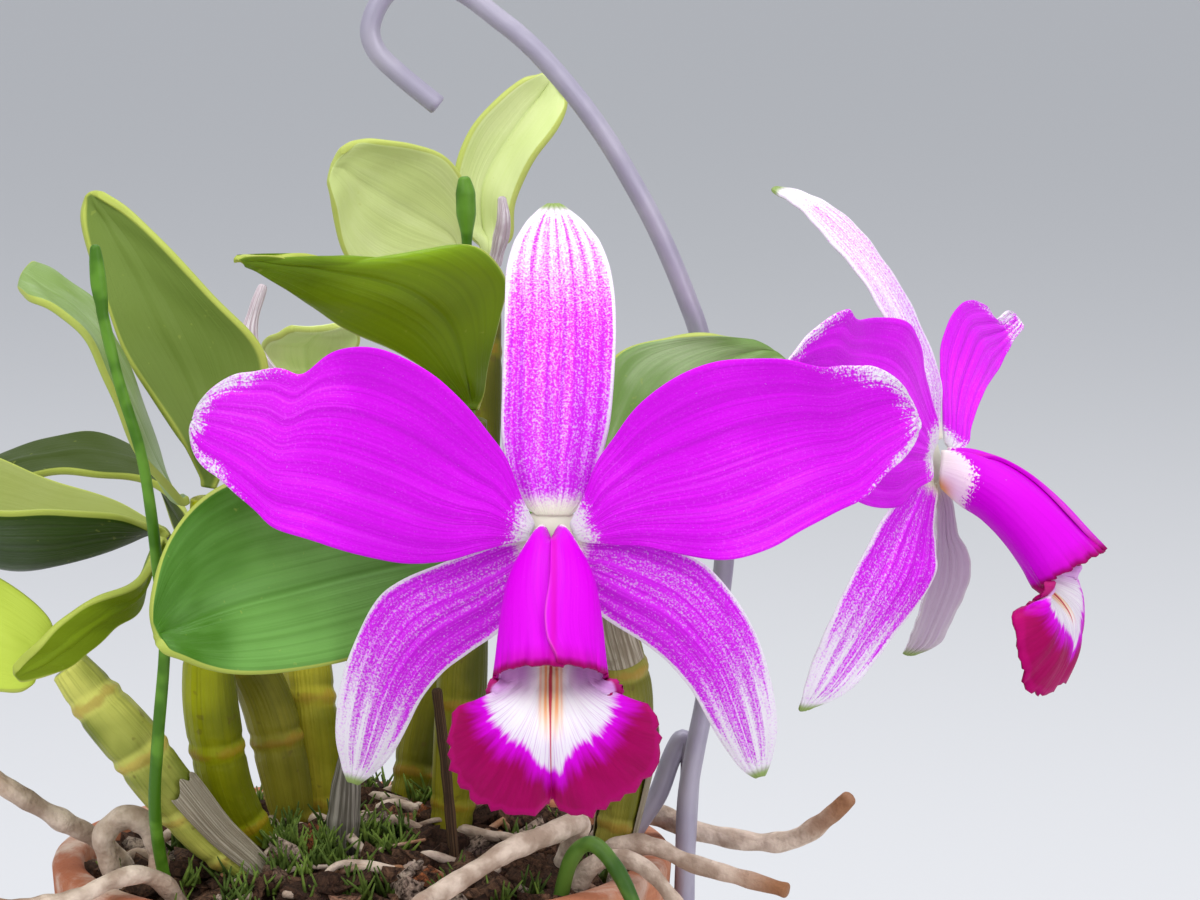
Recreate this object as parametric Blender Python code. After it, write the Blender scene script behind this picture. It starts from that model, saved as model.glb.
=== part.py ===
"""Potted cattleya orchid with two blooms in a clay pot on a wire hanger.

World millimetres are used throughout and turned into metres at the end.
The origin is the centre of the pot's base, +Z is up and the blooms look along -Y.
"""
import math
import random

import bmesh
import bpy
import numpy as np

# Pot
POT_HEIGHT = 96.0
BASE_RADIUS = 34.0
BODY_TOP_RADIUS = 47.0
RIM_RADIUS = 52.5
COLLAR_HEIGHT = 22.0
WALL = 5.3
FLOOR = 7.0

# Potting medium
DOME_TOP = 101.0
EDGE_TOP = 91.0
CHIP_COUNT = 150
CHIP_LIFT = 2.6

# Plant
GAP = 0.35
TEPAL_THICK = 0.8
LEAF_THICK = 1.5
WIRE_RADIUS = 1.7
ROOT_RADIUS = 1.8

# Blooms: centre, turn about Z from facing -Y, downward nod, size
BLOOM_1 = ((33.0, -65.0, 161.0), 0.0, 5.0, 1.0)
LOBE_LIFT = 0.14
BLOOM_2 = ((96.5, -11.0, 164.9), 70.0, 2.0, 1.02)

# Sheets are given station by station from base to tip. One row holds the left
# edge, the midrib and the right edge, x, y, z each. Bloom rows are in bloom axes:
# to the viewer's right, up, and out of the face.

# dorsal sepal
DORSAL = [
    (-1.7, 1.9, -1.3, 0.2, 1.9, -1.2, 2.1, 1.9, -1.3),
    (-3.8, 4.3, -1.7, 0.2, 4.4, -1.3, 4.2, 4.3, -1.7),
    (-5.5, 7.3, -2.1, 0.2, 7.5, -1.6, 5.9, 7.3, -2.1),
    (-7, 10.3, -2.8, 0.1, 10.4, -2.2, 7.2, 10.3, -2.8),
    (-7.8, 14.7, -4.3, 0.5, 14.8, -3.7, 8.7, 14.7, -4.3),
    (-7.7, 20.4, -6.8, 0.8, 20.5, -6.1, 9.4, 20.4, -6.8),
    (-7.5, 27.3, -10.9, 1.2, 27.5, -10.2, 9.8, 27.3, -10.9),
    (-7.4, 32.7, -15.8, 1.1, 32.8, -15.1, 9.7, 32.7, -15.8),
    (-7.3, 36.5, -20.2, 0.9, 36.7, -19.5, 9, 36.5, -20.2),
    (-6.5, 39.4, -23.6, 0.7, 39.5, -23, 7.8, 39.4, -23.6),
    (-5.3, 41.4, -26.3, 0.5, 41.5, -25.9, 6.3, 41.4, -26.3),
    (-3.6, 43.2, -28.8, 0.3, 43.3, -28.5, 4.2, 43.2, -28.8),
    (-2, 44.4, -30.6, 0.1, 44.4, -30.4, 2.1, 44.4, -30.6),
    (-0.8, 45, -31.6, -0.1, 45, -31.5, 0.7, 45, -31.6),
]
# left petal, with the cut in its upper edge
PETAL_LEFT = [
    (-2.6, 0.6, 0.2, -2.9, -0.3, 0.3, -3.1, -1.1, 0.2),
    (-5, 5, 0.5, -6.1, 1.4, 0.7, -7, -1.5, 0.5),
    (-7, 11.2, 1, -9.5, 3.5, 1.2, -11.5, -2.8, 1),
    (-9.5, 15.5, 1.9, -13, 4.4, 1.7, -15.8, -4.4, 1.4),
    (-13.1, 20.6, 3, -17.6, 6.2, 2.2, -21.2, -5, 1.9),
    (-17.5, 24.9, 3.3, -22.7, 8.6, 1.9, -26.8, -4, 2.6),
    (-22.8, 27.7, 2.3, -28.3, 10.7, 1.4, -32.5, -2.4, 2.4),
    (-28, 29.2, 3, -33.6, 12.1, 0.5, -37.8, -0.8, 1.5),
    (-33.4, 27.8, 0.6, -38.6, 12.1, -0.9, -42.5, 0.1, -0.3),
    (-37.7, 24, -1.3, -41.8, 11.6, -2, -44.9, 2, -1.4),
    (-41.3, 25, -2, -45.1, 13.4, -3.4, -48, 4.6, -2.7),
    (-46.8, 23.2, -4.7, -49.7, 14.6, -5.3, -51.9, 7.9, -5.1),
    (-51.7, 19.9, -6.6, -53.3, 15.3, -6.8, -54.5, 11.7, -6.9),
    (-53.8, 18.3, -7.3, -54.7, 15.7, -7.4, -55.4, 13.7, -7.5),
    (-55.1, 16.2, -7.6, -55.4, 15.2, -7.6, -55.7, 14.5, -7.7),
]
# right petal
PETAL_RIGHT = [
    (2.7, 0.6, 0.2, 3.1, -0.4, 0.3, 3.3, -1.2, 0.2),
    (5.1, 4.7, 0.5, 6.2, 1.2, 0.7, 7, -1.4, 0.5),
    (6.9, 10.4, 0.9, 9.1, 3.4, 1.2, 10.7, -1.8, 1),
    (9.4, 14.8, 1.8, 12.5, 4.9, 1.6, 14.8, -2.3, 1.4),
    (12.6, 19.7, 2.9, 16.8, 6.4, 2.2, 19.9, -3.4, 1.8),
    (17.8, 24, 3.2, 23.1, 7.6, 1.9, 26.9, -4.1, 2.6),
    (23.9, 26.7, 2.6, 29.4, 9.6, 1.3, 33.3, -2.4, 2.3),
    (29.4, 27, 1.1, 34.5, 11.3, 0.4, 38.1, 0.2, 1.5),
    (35.2, 27.1, 1.8, 39.9, 12.5, -1.4, 43.2, 2.5, -0.8),
    (40.8, 25.5, 0.6, 44.9, 12.9, -3.2, 47.7, 4.5, -2.5),
    (45.3, 25, -3.1, 48.7, 14.7, -4.9, 51.1, 7.6, -4.5),
    (49.8, 23.3, -5.6, 52.3, 15.9, -6.5, 54.1, 10.6, -6.6),
    (53.5, 20.6, -7.1, 54.9, 16.3, -7.5, 55.9, 13.3, -7.6),
    (55, 18.5, -7.6, 55.8, 16.2, -7.9, 56.3, 14.6, -7.9),
    (55.8, 17, -7.8, 56.2, 15.9, -8, 56.5, 15.1, -8),
]
# left lateral sepal
LATERAL_LEFT = [
    (-2.9, -2.2, -2, -2.3, -3.2, -1.1, -1.7, -4.6, -1.8),
    (-5.7, -2.9, -2.3, -4.1, -5.5, -1.4, -2.5, -8.4, -2.1),
    (-9.5, -3.5, -2.5, -7.1, -7.8, -1.6, -4.7, -12.5, -2.3),
    (-15.7, -5.4, -2.7, -11.9, -10.8, -1.8, -8.1, -16.7, -2.5),
    (-23.4, -8.8, -3.3, -18.1, -14.2, -2.4, -12.7, -20.2, -3.1),
    (-27.4, -12.5, -4.3, -22, -17.8, -3.4, -16.7, -23.5, -4.1),
    (-30.6, -19.1, -6.1, -25.5, -23.5, -5.2, -20.3, -28.4, -5.9),
    (-33, -26.2, -8.3, -27.9, -29.8, -7.4, -22.8, -33.9, -8.1),
    (-34.2, -35, -10.5, -29.6, -36.4, -9.6, -25, -38.4, -10.3),
    (-33.5, -40.8, -12.5, -30.7, -41.3, -11.6, -28, -42.3, -12.3),
    (-32.4, -44.5, -13.5, -31.7, -44.4, -12.6, -31.2, -44.9, -13.3),
]
# right lateral sepal
LATERAL_RIGHT = [
    (2.9, -2.2, -2, 2.3, -3.2, -1.1, 1.7, -4.6, -1.8),
    (5.8, -2.6, -2.3, 4.6, -5.5, -1.4, 3.5, -8.8, -2.1),
    (10.7, -1.7, -2.5, 8.2, -6.7, -1.6, 5.8, -12.1, -2.3),
    (15.8, -2.7, -2.7, 12.1, -8.6, -1.8, 8.4, -14.9, -2.5),
    (23, -5.9, -3.3, 18.2, -11.9, -2.4, 13.5, -18.4, -3.1),
    (28.1, -11.7, -4.3, 22.7, -16.5, -3.4, 17.4, -21.8, -4.1),
    (31.6, -18.3, -6.1, 26.5, -22.3, -5.2, 21.3, -26.8, -5.9),
    (33.8, -25.4, -8.3, 28.9, -28.6, -7.4, 24, -32.3, -8.1),
    (35.1, -33.7, -10.5, 30.7, -35.2, -9.6, 26.5, -37.2, -10.3),
    (34.4, -40, -12.5, 32, -40.6, -11.6, 29.5, -41.8, -12.3),
    (33.2, -43.5, -13.5, 32.6, -43.3, -12.6, 32.1, -43.7, -13.3),
]
# outer edge of the lip's middle lobe, from the left waist round to the right one
LIP_EDGE = [
    (-8.1, -21.8, 17.5), (-10.6, -22.4, 17), (-14, -23.9, 16.8), (-15.2, -27.7, 17),
    (-15.2, -30.7, 17.6), (-14.1, -33.6, 18.2), (-12.2, -36.2, 18.6), (-9.5, -38.1, 18.9),
    (-6.5, -39, 19.1), (-3.2, -39, 19.2), (-0.9, -37.8, 19.3), (0.1, -36.6, 19.4),
    (1.3, -38.2, 19.3), (3.9, -39.3, 19.2), (6.7, -38.7, 19.1), (9.6, -36.7, 18.9),
    (12.7, -35.1, 18.6), (15, -32.9, 18.2), (16.3, -29.3, 17.6), (15.9, -26.2, 17),
    (14.7, -23.1, 16.8), (11.5, -22.4, 17), (8.8, -21.8, 17.5),
]
# lip tube: floor (u, f), roof (u, f) and half width at five stations
LIP_TUBE = [
    (-5.4, 1.0, 0.6, 1.0, 3.2),
    (-7.6, 4.0, 0.7, 6.8, 5.0),
    (-9.8, 8.2, -1.6, 13.4, 6.8),
    (-13.8, 12.6, -6.4, 20.2, 7.8),
    (-19.9, 17.2, -13.4, 27.5, 8.3),
]
# column inside the tube: u, f, radius
COLUMN = [(-2.3, 1.8, 1.5), (-3.1, 4.5, 1.8), (-5.2, 9.0, 2.2), (-7.8, 12.8, 2.6), (-8.7, 14.0, 1.6)]
# second bloom, seen from its side: sepals and petals in world millimetres
BLOOM_2_ROWS = {
    "dorsal_sepal": [
        (94.9, -12.4, 166.9, 95.8, -10.6, 167.2, 96.7, -8.6, 167.1),
        (93.8, -15, 170.4, 95.1, -11, 170.4, 96.6, -6.5, 170.1),
        (91.4, -18, 177.4, 94.4, -10.5, 177.2, 97, -3, 176.4),
        (88.6, -17.5, 184.8, 91.6, -9.5, 184.5, 94, -1.5, 184.3),
        (85.3, -16.5, 190.9, 88.3, -8.5, 191, 90.9, -0.5, 191.2),
        (81.6, -14.5, 196.2, 84.4, -7, 196.7, 87, 0.5, 196.8),
        (77.7, -12, 200.8, 80.3, -5.5, 201.4, 83, 1, 201.6),
        (74.2, -9.5, 204.5, 76.4, -4, 204.9, 78.7, 1.5, 205.3),
        (71.1, -7, 206.8, 72.6, -3, 207.1, 74.3, 1, 207.3),
        (68.8, -3.5, 208.1, 68.7, -2.5, 208.3, 69.2, -1.5, 208.5),
    ],
    "petal_left": [
        (95.6, -14.2, 167, 95.1, -14.4, 165.9, 94.9, -14.2, 164.9),
        (95.2, -16, 170.6, 93.5, -17, 166.6, 94.5, -16, 162.6),
        (93.8, -18.5, 177.5, 90.9, -22, 168.1, 91.8, -19.5, 160.8),
        (92.1, -22, 184.4, 87.9, -27, 169.6, 89.4, -25, 158.5),
        (89.5, -27, 188.9, 84.3, -33, 172, 85.3, -31, 159.1),
        (84.9, -33, 190.2, 80.7, -38, 174.3, 81.4, -37, 160.9),
        (80.9, -39, 190.5, 77.7, -43, 176.3, 77.8, -43, 163.9),
        (78.9, -43, 192.7, 74.7, -47, 178.2, 74.8, -47, 166.8),
        (74.9, -48, 190.9, 71.8, -51, 180, 72.2, -51, 171),
        (71.1, -52, 187.7, 69.7, -54, 181.4, 70.2, -54, 175.7),
        (68.7, -54.5, 185.2, 68.2, -55, 182.8, 68.9, -55, 180),
    ],
    "petal_right": [
        (97.8, -7.6, 166.1, 98.3, -7.6, 165.3, 98.6, -7.8, 164.3),
        (97.8, -4.5, 169, 99.6, -5, 167.4, 101.3, -5.5, 166.3),
        (97.6, 0, 173.5, 100.1, -0.5, 170.7, 102.6, -1, 168.6),
        (97.8, 5, 178, 101.2, 5, 174, 104.5, 5, 172),
        (98.8, 12, 182.3, 103.3, 12, 177.6, 106.4, 12, 173.7),
        (101.1, 19, 185.8, 105.6, 19, 180.6, 108.8, 19, 175.2),
        (104.1, 24, 187, 108.2, 25, 180.8, 110.7, 25, 177.5),
        (107.2, 28, 186, 110, 29, 180.9, 112.1, 29, 178.9),
        (109.1, 31, 182.8, 111.3, 32, 181.1, 113.1, 32, 179.5),
        (111.5, 34, 184, 113, 35, 182, 114.4, 35, 180.4),
        (112.9, 36, 183.6, 113.9, 36.5, 182.5, 114.7, 36, 181.3),
    ],
    "sepal_left": [
        (94, -13.8, 162.5, 94.7, -12.9, 161.3, 95.5, -12, 160.2),
        (92, -17, 161.3, 93.7, -15.5, 159.9, 95.4, -13.5, 158.8),
        (89.4, -20.5, 159.3, 92.4, -18, 156.8, 95, -15, 154.7),
        (86.3, -24, 156.6, 90.8, -21, 153.1, 95.5, -17, 150.3),
        (82.5, -28, 150.5, 88.7, -25, 148, 95.2, -20, 146.5),
        (79.3, -31, 144.8, 85.7, -28, 143.3, 91.9, -23, 141.7),
        (76.5, -33, 139.6, 82.5, -30, 138.7, 88.4, -26, 137.8),
        (74.4, -34, 134.5, 79.5, -32, 134.3, 84.5, -29, 133.3),
        (73.1, -35, 130.2, 76.5, -34, 130.3, 80.4, -32, 129.4),
        (72.3, -35.5, 127, 72.8, -35, 126.6, 74.4, -34.5, 127),
    ],
    "sepal_right": [
        (96.6, -8.3, 161.8, 96.0, -9.1, 160.9, 95.5, -9.9, 160.0),
        (99, -4, 155.8, 97.7, -6, 155.4, 96.3, -8, 155.2),
        (100.5, 1, 150.1, 98.4, -2, 150.1, 96.3, -5, 150),
        (102.8, 6, 146.2, 99.5, 3, 145.7, 96, -1, 145.3),
        (103.6, 10, 141.7, 99.6, 7, 140.8, 95.5, 3, 140.2),
        (102.8, 14, 136.5, 98.6, 11, 136, 94.8, 8, 135.5),
        (101.1, 18, 131.6, 97.4, 15, 131.4, 94.2, 13, 131.1),
        (99.2, 21, 127.3, 96.2, 19, 127.5, 93.7, 18, 127.9),
        (95, 23, 124.8, 93.9, 23, 124.8, 93.2, 23, 125.2),
    ],
}


# Canes: x, y, z, radius from the leafy top down into the medium
CANES = {
    "cane_a": [(-44.9, -34, 133.6, 3.3), (-40.2, -34, 127.5, 4.3), (-34.8, -33, 120.7, 4.7), (-30.2, -31, 113.7, 4.5), (-23.4, -27, 104.4, 4), (-17.1, -25, 98.1, 3.3), (-15.3, -24, 94.5, 3)],
    "cane_b": [(-23.1, -28, 160, 2.7), (-23.3, -27, 150, 3.1), (-23.6, -24, 134.6, 4), (-23.3, -22, 123.4, 4.6), (-21.2, -18, 109.9, 4.2), (-16, -14, 98.8, 3.4), (-13.6, -12, 92.3, 3)],
    "cane_c": [(-11.6, 22, 168.1, 2.6), (-11, 10, 143.8, 3.2), (-9.1, 1, 124.7, 4.3), (-7.7, 2, 110.6, 4.1), (-6.7, 4, 94.5, 3.2), (-6.4, 5, 88.1, 2.9)],
    "cane_g": [(-28.9, -18, 150.5, 2.6), (-23.3, -14, 139.1, 3.3), (-16.5, -8, 125.6, 4.3), (-13.2, -6, 112.4, 4.3), (-10.8, -4, 96.4, 3.3), (-9.8, -4, 90.3, 2.9)],
    "cane_d": [(20.6, 24, 192.5, 2.6), (20.3, 20, 166.6, 3), (17.9, 16, 142.8, 3.4), (11.4, 12, 120.8, 4.2), (8.5, 10, 105.4, 3.9), (6.7, 8, 91.8, 3.1), (6.2, 8, 87.4, 2.9)],
    "cane_e": [(19.2, -15, 171.1, 2.6), (18.5, -12, 147.5, 3.3), (17.2, -8, 124.8, 4.2), (15.9, -6, 109, 3.9), (14.6, -4, 95.5, 3.1), (14.2, -4, 90.3, 2.9)],
    "cane_f": [(40, -25, 152, 2.7), (42.3, -20, 138.9, 3.5), (45, -14, 126, 4), (44.6, -9, 111.3, 3.8), (42.2, -6, 96.5, 3.1), (41, -5, 90.3, 2.9)],
}
# Each leaf: the cane it stands on, the way it leaves the cane's top, how sharply
# it is folded along the midrib (1 is a straight V, 2 a soft channel), and how far
# from the middle of the cane's top it starts
LEAF_SEAT = {
    "leaf_1": ("cane_b", (0.15, 0.1, 1.0), 1.6, 1.9),
    "leaf_2": ("cane_b", (-1.0, -0.45, 0.15), 1.8, 3.33),
    "leaf_3": ("cane_f", (-1.0, -0.25, 0.0), 1.5, 3.15),
    "leaf_4": ("cane_g", (-0.9, -0.9, 0.1), 2.0, 2.6),
    "leaf_5": ("cane_a", (-1.0, 0.3, 0.3), 2.0, 2.8),
    "leaf_6": ("cane_g", (-0.75, 0.25, 0.65), 1.1, 2.25),
    "leaf_8": ("cane_g", (0.1, 0.95, 0.6), 1.6, 3.5),
    "leaf_9": ("cane_e", (0.0, 0.0, 1.0), 2.0, 1.73),
    "leaf_10": ("cane_d", (-1.0, -0.1, 0.5), 2.0, 2.57),
    "leaf_11": ("cane_d", (0.15, 0.1, 1.0), 1.6, 1.73),
    "leaf_12": ("cane_c", (0.0, 0.2, 1.0), 2.0, 1.99),
    "leaf_13": ("cane_f", (0.2, 0.5, 0.9), 1.8, 2.56),
}
# Rows of each leaf from its base to its tip: left edge, midrib, right edge
LEAF_ROWS = {
    "leaf_1": [
        (-27.2, -29, 169.9, -21.8, -28, 169.7, -16.1, -31, 171.8),
        (-32.1, -27, 176.9, -25.1, -25, 179.1, -12.9, -30, 178.4),
        (-36.8, -25, 184, -29.8, -23, 188.3, -13.8, -29, 185.1),
        (-39.8, -23, 191.9, -34.1, -21, 196.5, -21.5, -27, 192.6),
        (-42.5, -21, 199.8, -38.1, -19, 202.7, -29.7, -24, 200.9),
        (-43.6, -19, 205.3, -40.6, -18, 206.5, -36.2, -21, 206.3),
        (-43.2, -18, 208.3, -42.2, -18, 209.1, -40.8, -19, 208.9),
    ],
    "leaf_2": [
        (-31.1, -26, 167.8, -31.9, -32, 168.7, -32.7, -38, 168.4),
        (-34.5, -27, 177.7, -35.1, -36, 178.5, -35.5, -45, 179.1),
        (-37.9, -29, 186.1, -38.4, -39, 187.2, -38.9, -47, 187.2),
        (-39.8, -32, 192.5, -42, -40, 191.7, -43.7, -48, 192.3),
        (-45.5, -33, 196.7, -46.9, -41, 195.3, -47.7, -48, 194.6),
        (-49.9, -35, 199.2, -51, -39, 197.5, -50.8, -43, 195.5),
    ],
    "leaf_3": [
        (27.5, -33, 159.9, 27.5, -36, 153.9, 27.6, -38, 147.8),
        (14.8, -35, 164.6, 14.9, -40, 152.7, 15.1, -46, 142.3),
        (2.2, -38, 167, 2.4, -44, 150.8, 2.7, -51, 138.5),
        (-8.5, -43, 167.5, -7.9, -49, 148.9, -7.9, -56, 137.2),
        (-16.8, -47, 166.4, -15.5, -53, 147.6, -15.3, -60, 137.5),
        (-22.8, -51, 163, -20.8, -56, 146.2, -20.5, -62, 139),
        (-27.1, -55, 157, -24.7, -59, 144.9, -24.1, -64, 141.1),
        (-29, -59, 149.9, -27.1, -61, 144.1, -26.2, -64, 142.2),
        (-28.8, -61, 145.7, -28.1, -62, 144, -27.6, -63, 143.4),
    ],
    "leaf_4": [
        (-33.4, -34, 148.1, -34.2, -32, 145.3, -34.1, -29, 142.3),
        (-38.8, -43, 146.7, -38.3, -41, 143.6, -37.8, -39, 140.7),
        (-43.9, -47, 144.1, -42.6, -45, 140.8, -40.8, -43, 137.9),
        (-47.9, -49, 140.6, -46.7, -47, 138, -44.8, -45, 135.2),
        (-51.9, -48, 136, -52.2, -47, 135, -51.3, -46, 133.8),
    ],
    "leaf_5": [
        (-48.7, -31, 141.3, -50.4, -35, 135.9, -51.2, -38, 130.9),
        (-56.6, -29, 147.5, -56.9, -34, 139, -55.7, -38, 130.3),
        (-66.7, -26, 149.5, -66.3, -30, 141.2, -64.2, -34, 131.6),
        (-77.2, -22, 148.3, -77, -24, 142.1, -74.8, -28, 135.4),
        (-85.8, -18, 143.2, -86.4, -19, 141.7, -85.6, -20, 140.2),
    ],
    "leaf_6": [
        (-39.7, -6, 156.1, -38.6, -16, 150.5, -37.4, -26, 156.9),
        (-50.2, -2, 159.2, -48.6, -16, 147.1, -46.6, -30, 158.3),
        (-60.4, 0, 162.8, -58.5, -16, 146.5, -55.9, -32, 159.1),
        (-72.4, 2, 165.9, -69.9, -16, 150.7, -67.1, -32, 160.6),
        (-82.2, 0, 166.2, -79.6, -16, 156.8, -77.4, -28, 161.9),
        (-86.5, -10, 162.2, -85.6, -15, 161.3, -84.7, -20, 161.1),
    ],
    "leaf_8": [
        (-35.6, 6, 161.1, -35.1, 1, 160, -34.2, -4, 159),
        (-45.3, 14, 164.6, -44.4, 6, 162.3, -43.6, -1, 160.3),
        (-54.2, 17, 163.7, -53.2, 9, 161.5, -52.3, 2, 159.8),
        (-63.2, 19, 160.6, -62.2, 12, 159, -61.3, 5, 157),
        (-70.6, 16, 155.3, -70.5, 14, 154.6, -70, 12, 153.7),
    ],
    "leaf_9": [
        (14.2, -18, 178.6, 18.5, -19, 179.2, 21.9, -18, 180.7),
        (7.1, -22, 183.6, 16.1, -24, 187.9, 24.1, -20, 189.6),
        (-0.6, -28, 187.6, 10.8, -31, 193.8, 25.1, -22, 195.5),
        (-5, -34, 191.9, 3.2, -37, 197.1, 20.1, -27, 201.1),
        (-8.4, -40, 195.1, -3.6, -42, 198.9, 10.1, -33, 199),
        (-11.9, -46, 198.2, -9.4, -47, 200.2, -0.5, -40, 200.3),
        (-14.2, -50, 200, -13.2, -50, 200.9, -8.3, -46, 201.3),
        (-15.6, -53, 201, -15.7, -53, 201.5, -14.6, -52, 201.9),
    ],
    "leaf_10": [
        (11.1, 20, 191.2, 14.5, 22, 198.4, 18.4, 19, 204.3),
        (4.4, 18, 190.2, 8.6, 20, 202, 14.8, 16, 211.7),
        (0.2, 16, 191.3, 3.6, 18, 205.1, 9, 14, 214.3),
        (-3.1, 14, 195.7, -0.5, 16, 208, 4, 12, 215.2),
        (-4.6, 13, 202.6, -3.3, 14, 210.5, 0.1, 12, 215.4),
        (-5.9, 13, 208.2, -5.2, 13, 211.1, -3.5, 12, 213.5),
    ],
    "leaf_11": [
        (16.5, 26, 199.8, 19.9, 28, 199.6, 25.1, 24, 197.9),
        (15.3, 26, 207.9, 19.9, 29, 206.2, 25.5, 24, 203.8),
        (17.9, 28, 216.1, 23, 31, 212.4, 28.6, 26, 210.7),
        (22.7, 30, 221.5, 27.1, 33, 218.2, 32.7, 28, 216.1),
        (26.8, 32, 224.5, 30.4, 34, 222.3, 34.6, 31, 220.1),
        (30.1, 34, 225.6, 32.1, 34, 224.7, 33.7, 33, 223.1),
    ],
    "leaf_12": [
        (-16, 27, 173.4, -11.1, 31, 173.6, -5.4, 29, 174.4),
        (-18.1, 23, 178.4, -11.1, 29, 178.4, -1.5, 29, 179.1),
        (-16.1, 20, 181.2, -9.6, 26, 180.5, -2.4, 27, 182),
        (-12.5, 18, 182.8, -8.3, 22, 182.2, -4.7, 25, 182.7),
    ],
    "leaf_13": [
        (38.2, -22, 162.7, 42.9, -22, 161.7, 48.4, -24, 159.4),
        (38.7, -17, 174, 48.5, -17, 169.5, 57.5, -19, 165.5),
        (42.8, -13, 181.9, 54.3, -12, 176.5, 64.1, -15, 170.4),
        (51, -10, 184.2, 60.8, -9, 180.3, 68, -12, 174.5),
        (58.5, -9, 184.8, 66.1, -8, 181.8, 70.7, -10, 177.6),
        (66, -7, 183.4, 69.6, -7, 181.4, 71.9, -8, 179),
    ],
}
# Round parts: x, y, z, radius along each
ROUND_PARTS = {
    "hanger": [(13.3, 0, 222), (7.2, 0, 227), (3.2, 0, 231.1), (2.4, 0, 235.4), (5.2, 0, 240.6),
               (10.8, 0, 243.4), (17.6, 0, 240.6),
               (23.8, 0, 236.0), (27.1, 0, 233.4), (31.2, 0, 229.4), (36.8, 0, 222.8), (41.5, 0, 216.2),
               (45.5, 0, 209.5), (49.1, 0, 202.9), (52.2, 0, 196.2), (54.9, 0, 189.5), (56.9, 0, 183.9),
               (59.8, 0, 172.6), (61.1, 0, 160.8), (61.4, 0, 148.9), (60.7, 0, 140.3), (59.4, 0, 130.9),
               (58.1, 0, 121.4),
               (56.6, -1.6, 114.2), (55.2, -2.4, 106), (54.8, -2.6, 98), (54.7, -2.6, 84), (54.7, -2.6, 73),
               (54.7, -1.9, 69.4), (54.7, 0, 67.6), (54.7, 1.9, 69.4), (54.7, 2.6, 73), (54.7, 2.7, 88),
               (55.4, 3, 103), (55.7, 3.3, 110.5), (54.4, 3.4, 114), (52.4, 3.3, 110.5), (50.2, 2.9, 104.5),
               (47, 2.6, 99.6), (44.8, 2.6, 95), (43.8, 2.6, 84)],
    "root_back_right": [(38, 8, 90), (41, 8, 96.5), (45, 8.5, 99.4), (50.5, 9, 99.4), (56, 8.5, 97),
                        (67.5, 6, 95.4), (74.1, 3, 96.9), (79.4, 0, 101.4), (82.6, -2, 105)],
    "root_right": [(37, -11, 90), (40, -12, 96), (44.5, -13, 99.4), (50, -14, 99.2), (55, -15, 97),
                   (63.6, -17, 94.9), (71.2, -20, 93.4)],
    "root_low_right": [(35, -20, 90), (38, -21.5, 97), (42, -23, 99.6), (46.5, -25, 99.2),
                       (50, -26.5, 96.5), (54, -28, 91.5), (57, -29, 87.5)],
    "root_front": [(31, -15, 90), (35, -18.5, 99), (37, -23.5, 105.6), (32.2, -30, 105.3), (25.8, -36, 104.1),
                   (19.5, -42, 101.6), (14.9, -47, 99.8), (11.5, -52, 99), (9, -56, 95.5), (8, -57.5, 90)],
    "root_left": [(-37.5, -9, 90), (-40, -10.5, 96), (-44, -12, 100.4), (-49.5, -14, 104), (-58, -18, 110.5),
                  (-66, -20, 116.5)],
    "root_low_left": [(-27, -31, 90), (-29.5, -32.5, 96.5), (-33.5, -34.5, 99.6), (-38.5, -37, 99.2),
                      (-44, -39, 97), (-53, -41, 95.8), (-61, -42, 97)],
    "root_arch": [(-38.5, -20, 90), (-41, -20.5, 99), (-41.5, -21, 103), (-38, -21, 106), (-34.5, -21, 104.5),
                  (-32.6, -20.5, 99), (-32, -20, 90)],
    "green_stem": [(33, -28, 90), (35.5, -31, 101), (39, -33.5, 104.5), (43, -36.5, 101), (46.5, -39, 94),
                   (49, -41, 86)],
    "dry_stump": [(-1.2, -20, 116.5), (-1.6, -19, 111), (-2.2, -18, 104), (-2.9, -16, 95), (-3, -16, 90)],
    "stake": [(13.5, -20, 127.2), (15.1, -20, 112.1), (16.7, -20, 92)],
    "seed_stalk_1": [(-37.8, -50, 203), (-37.6, -50, 200.5), (-37.3, -50, 197), (-36.9, -50, 194), (-36.6, -50, 191.6),
                     (-34.3, -50, 181.4), (-31.3, -50, 171.2), (-29.9, -49, 161.6), (-29.1, -47, 151),
                     (-28.4, -45, 140.2), (-30.1, -42, 123.5), (-31.3, -37, 110.9), (-31, -29, 99.1),
                     (-29.5, -26, 91)],
    "seed_stalk_2": [(17.8, -2, 210), (18, -2, 207.5), (18.1, -2, 204), (18.2, -2, 200.5), (18.2, -2, 196),
                     (18.6, -2, 169.5), (16.7, 0, 145.5), (14.3, 2, 121), (12.2, 3, 103.5), (11, 2.5, 91)],
    "bract_1": [(-12.0, 19.0, 169.8), (-14, 16.6, 173.0), (-17.6, 16, 177.2), (-19.6, 16, 181.3),
                (-18.9, 17, 185.7), (-17.4, 18, 190)],
    "bract_2": [(22.2, 21.1, 193.6), (23.8, 17, 200.6), (23.6, 17, 205.2)],
    "peduncle": [(40, -27.5, 153.3), (39.6, -31, 157), (39.5, -33, 160.5)],
}
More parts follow.
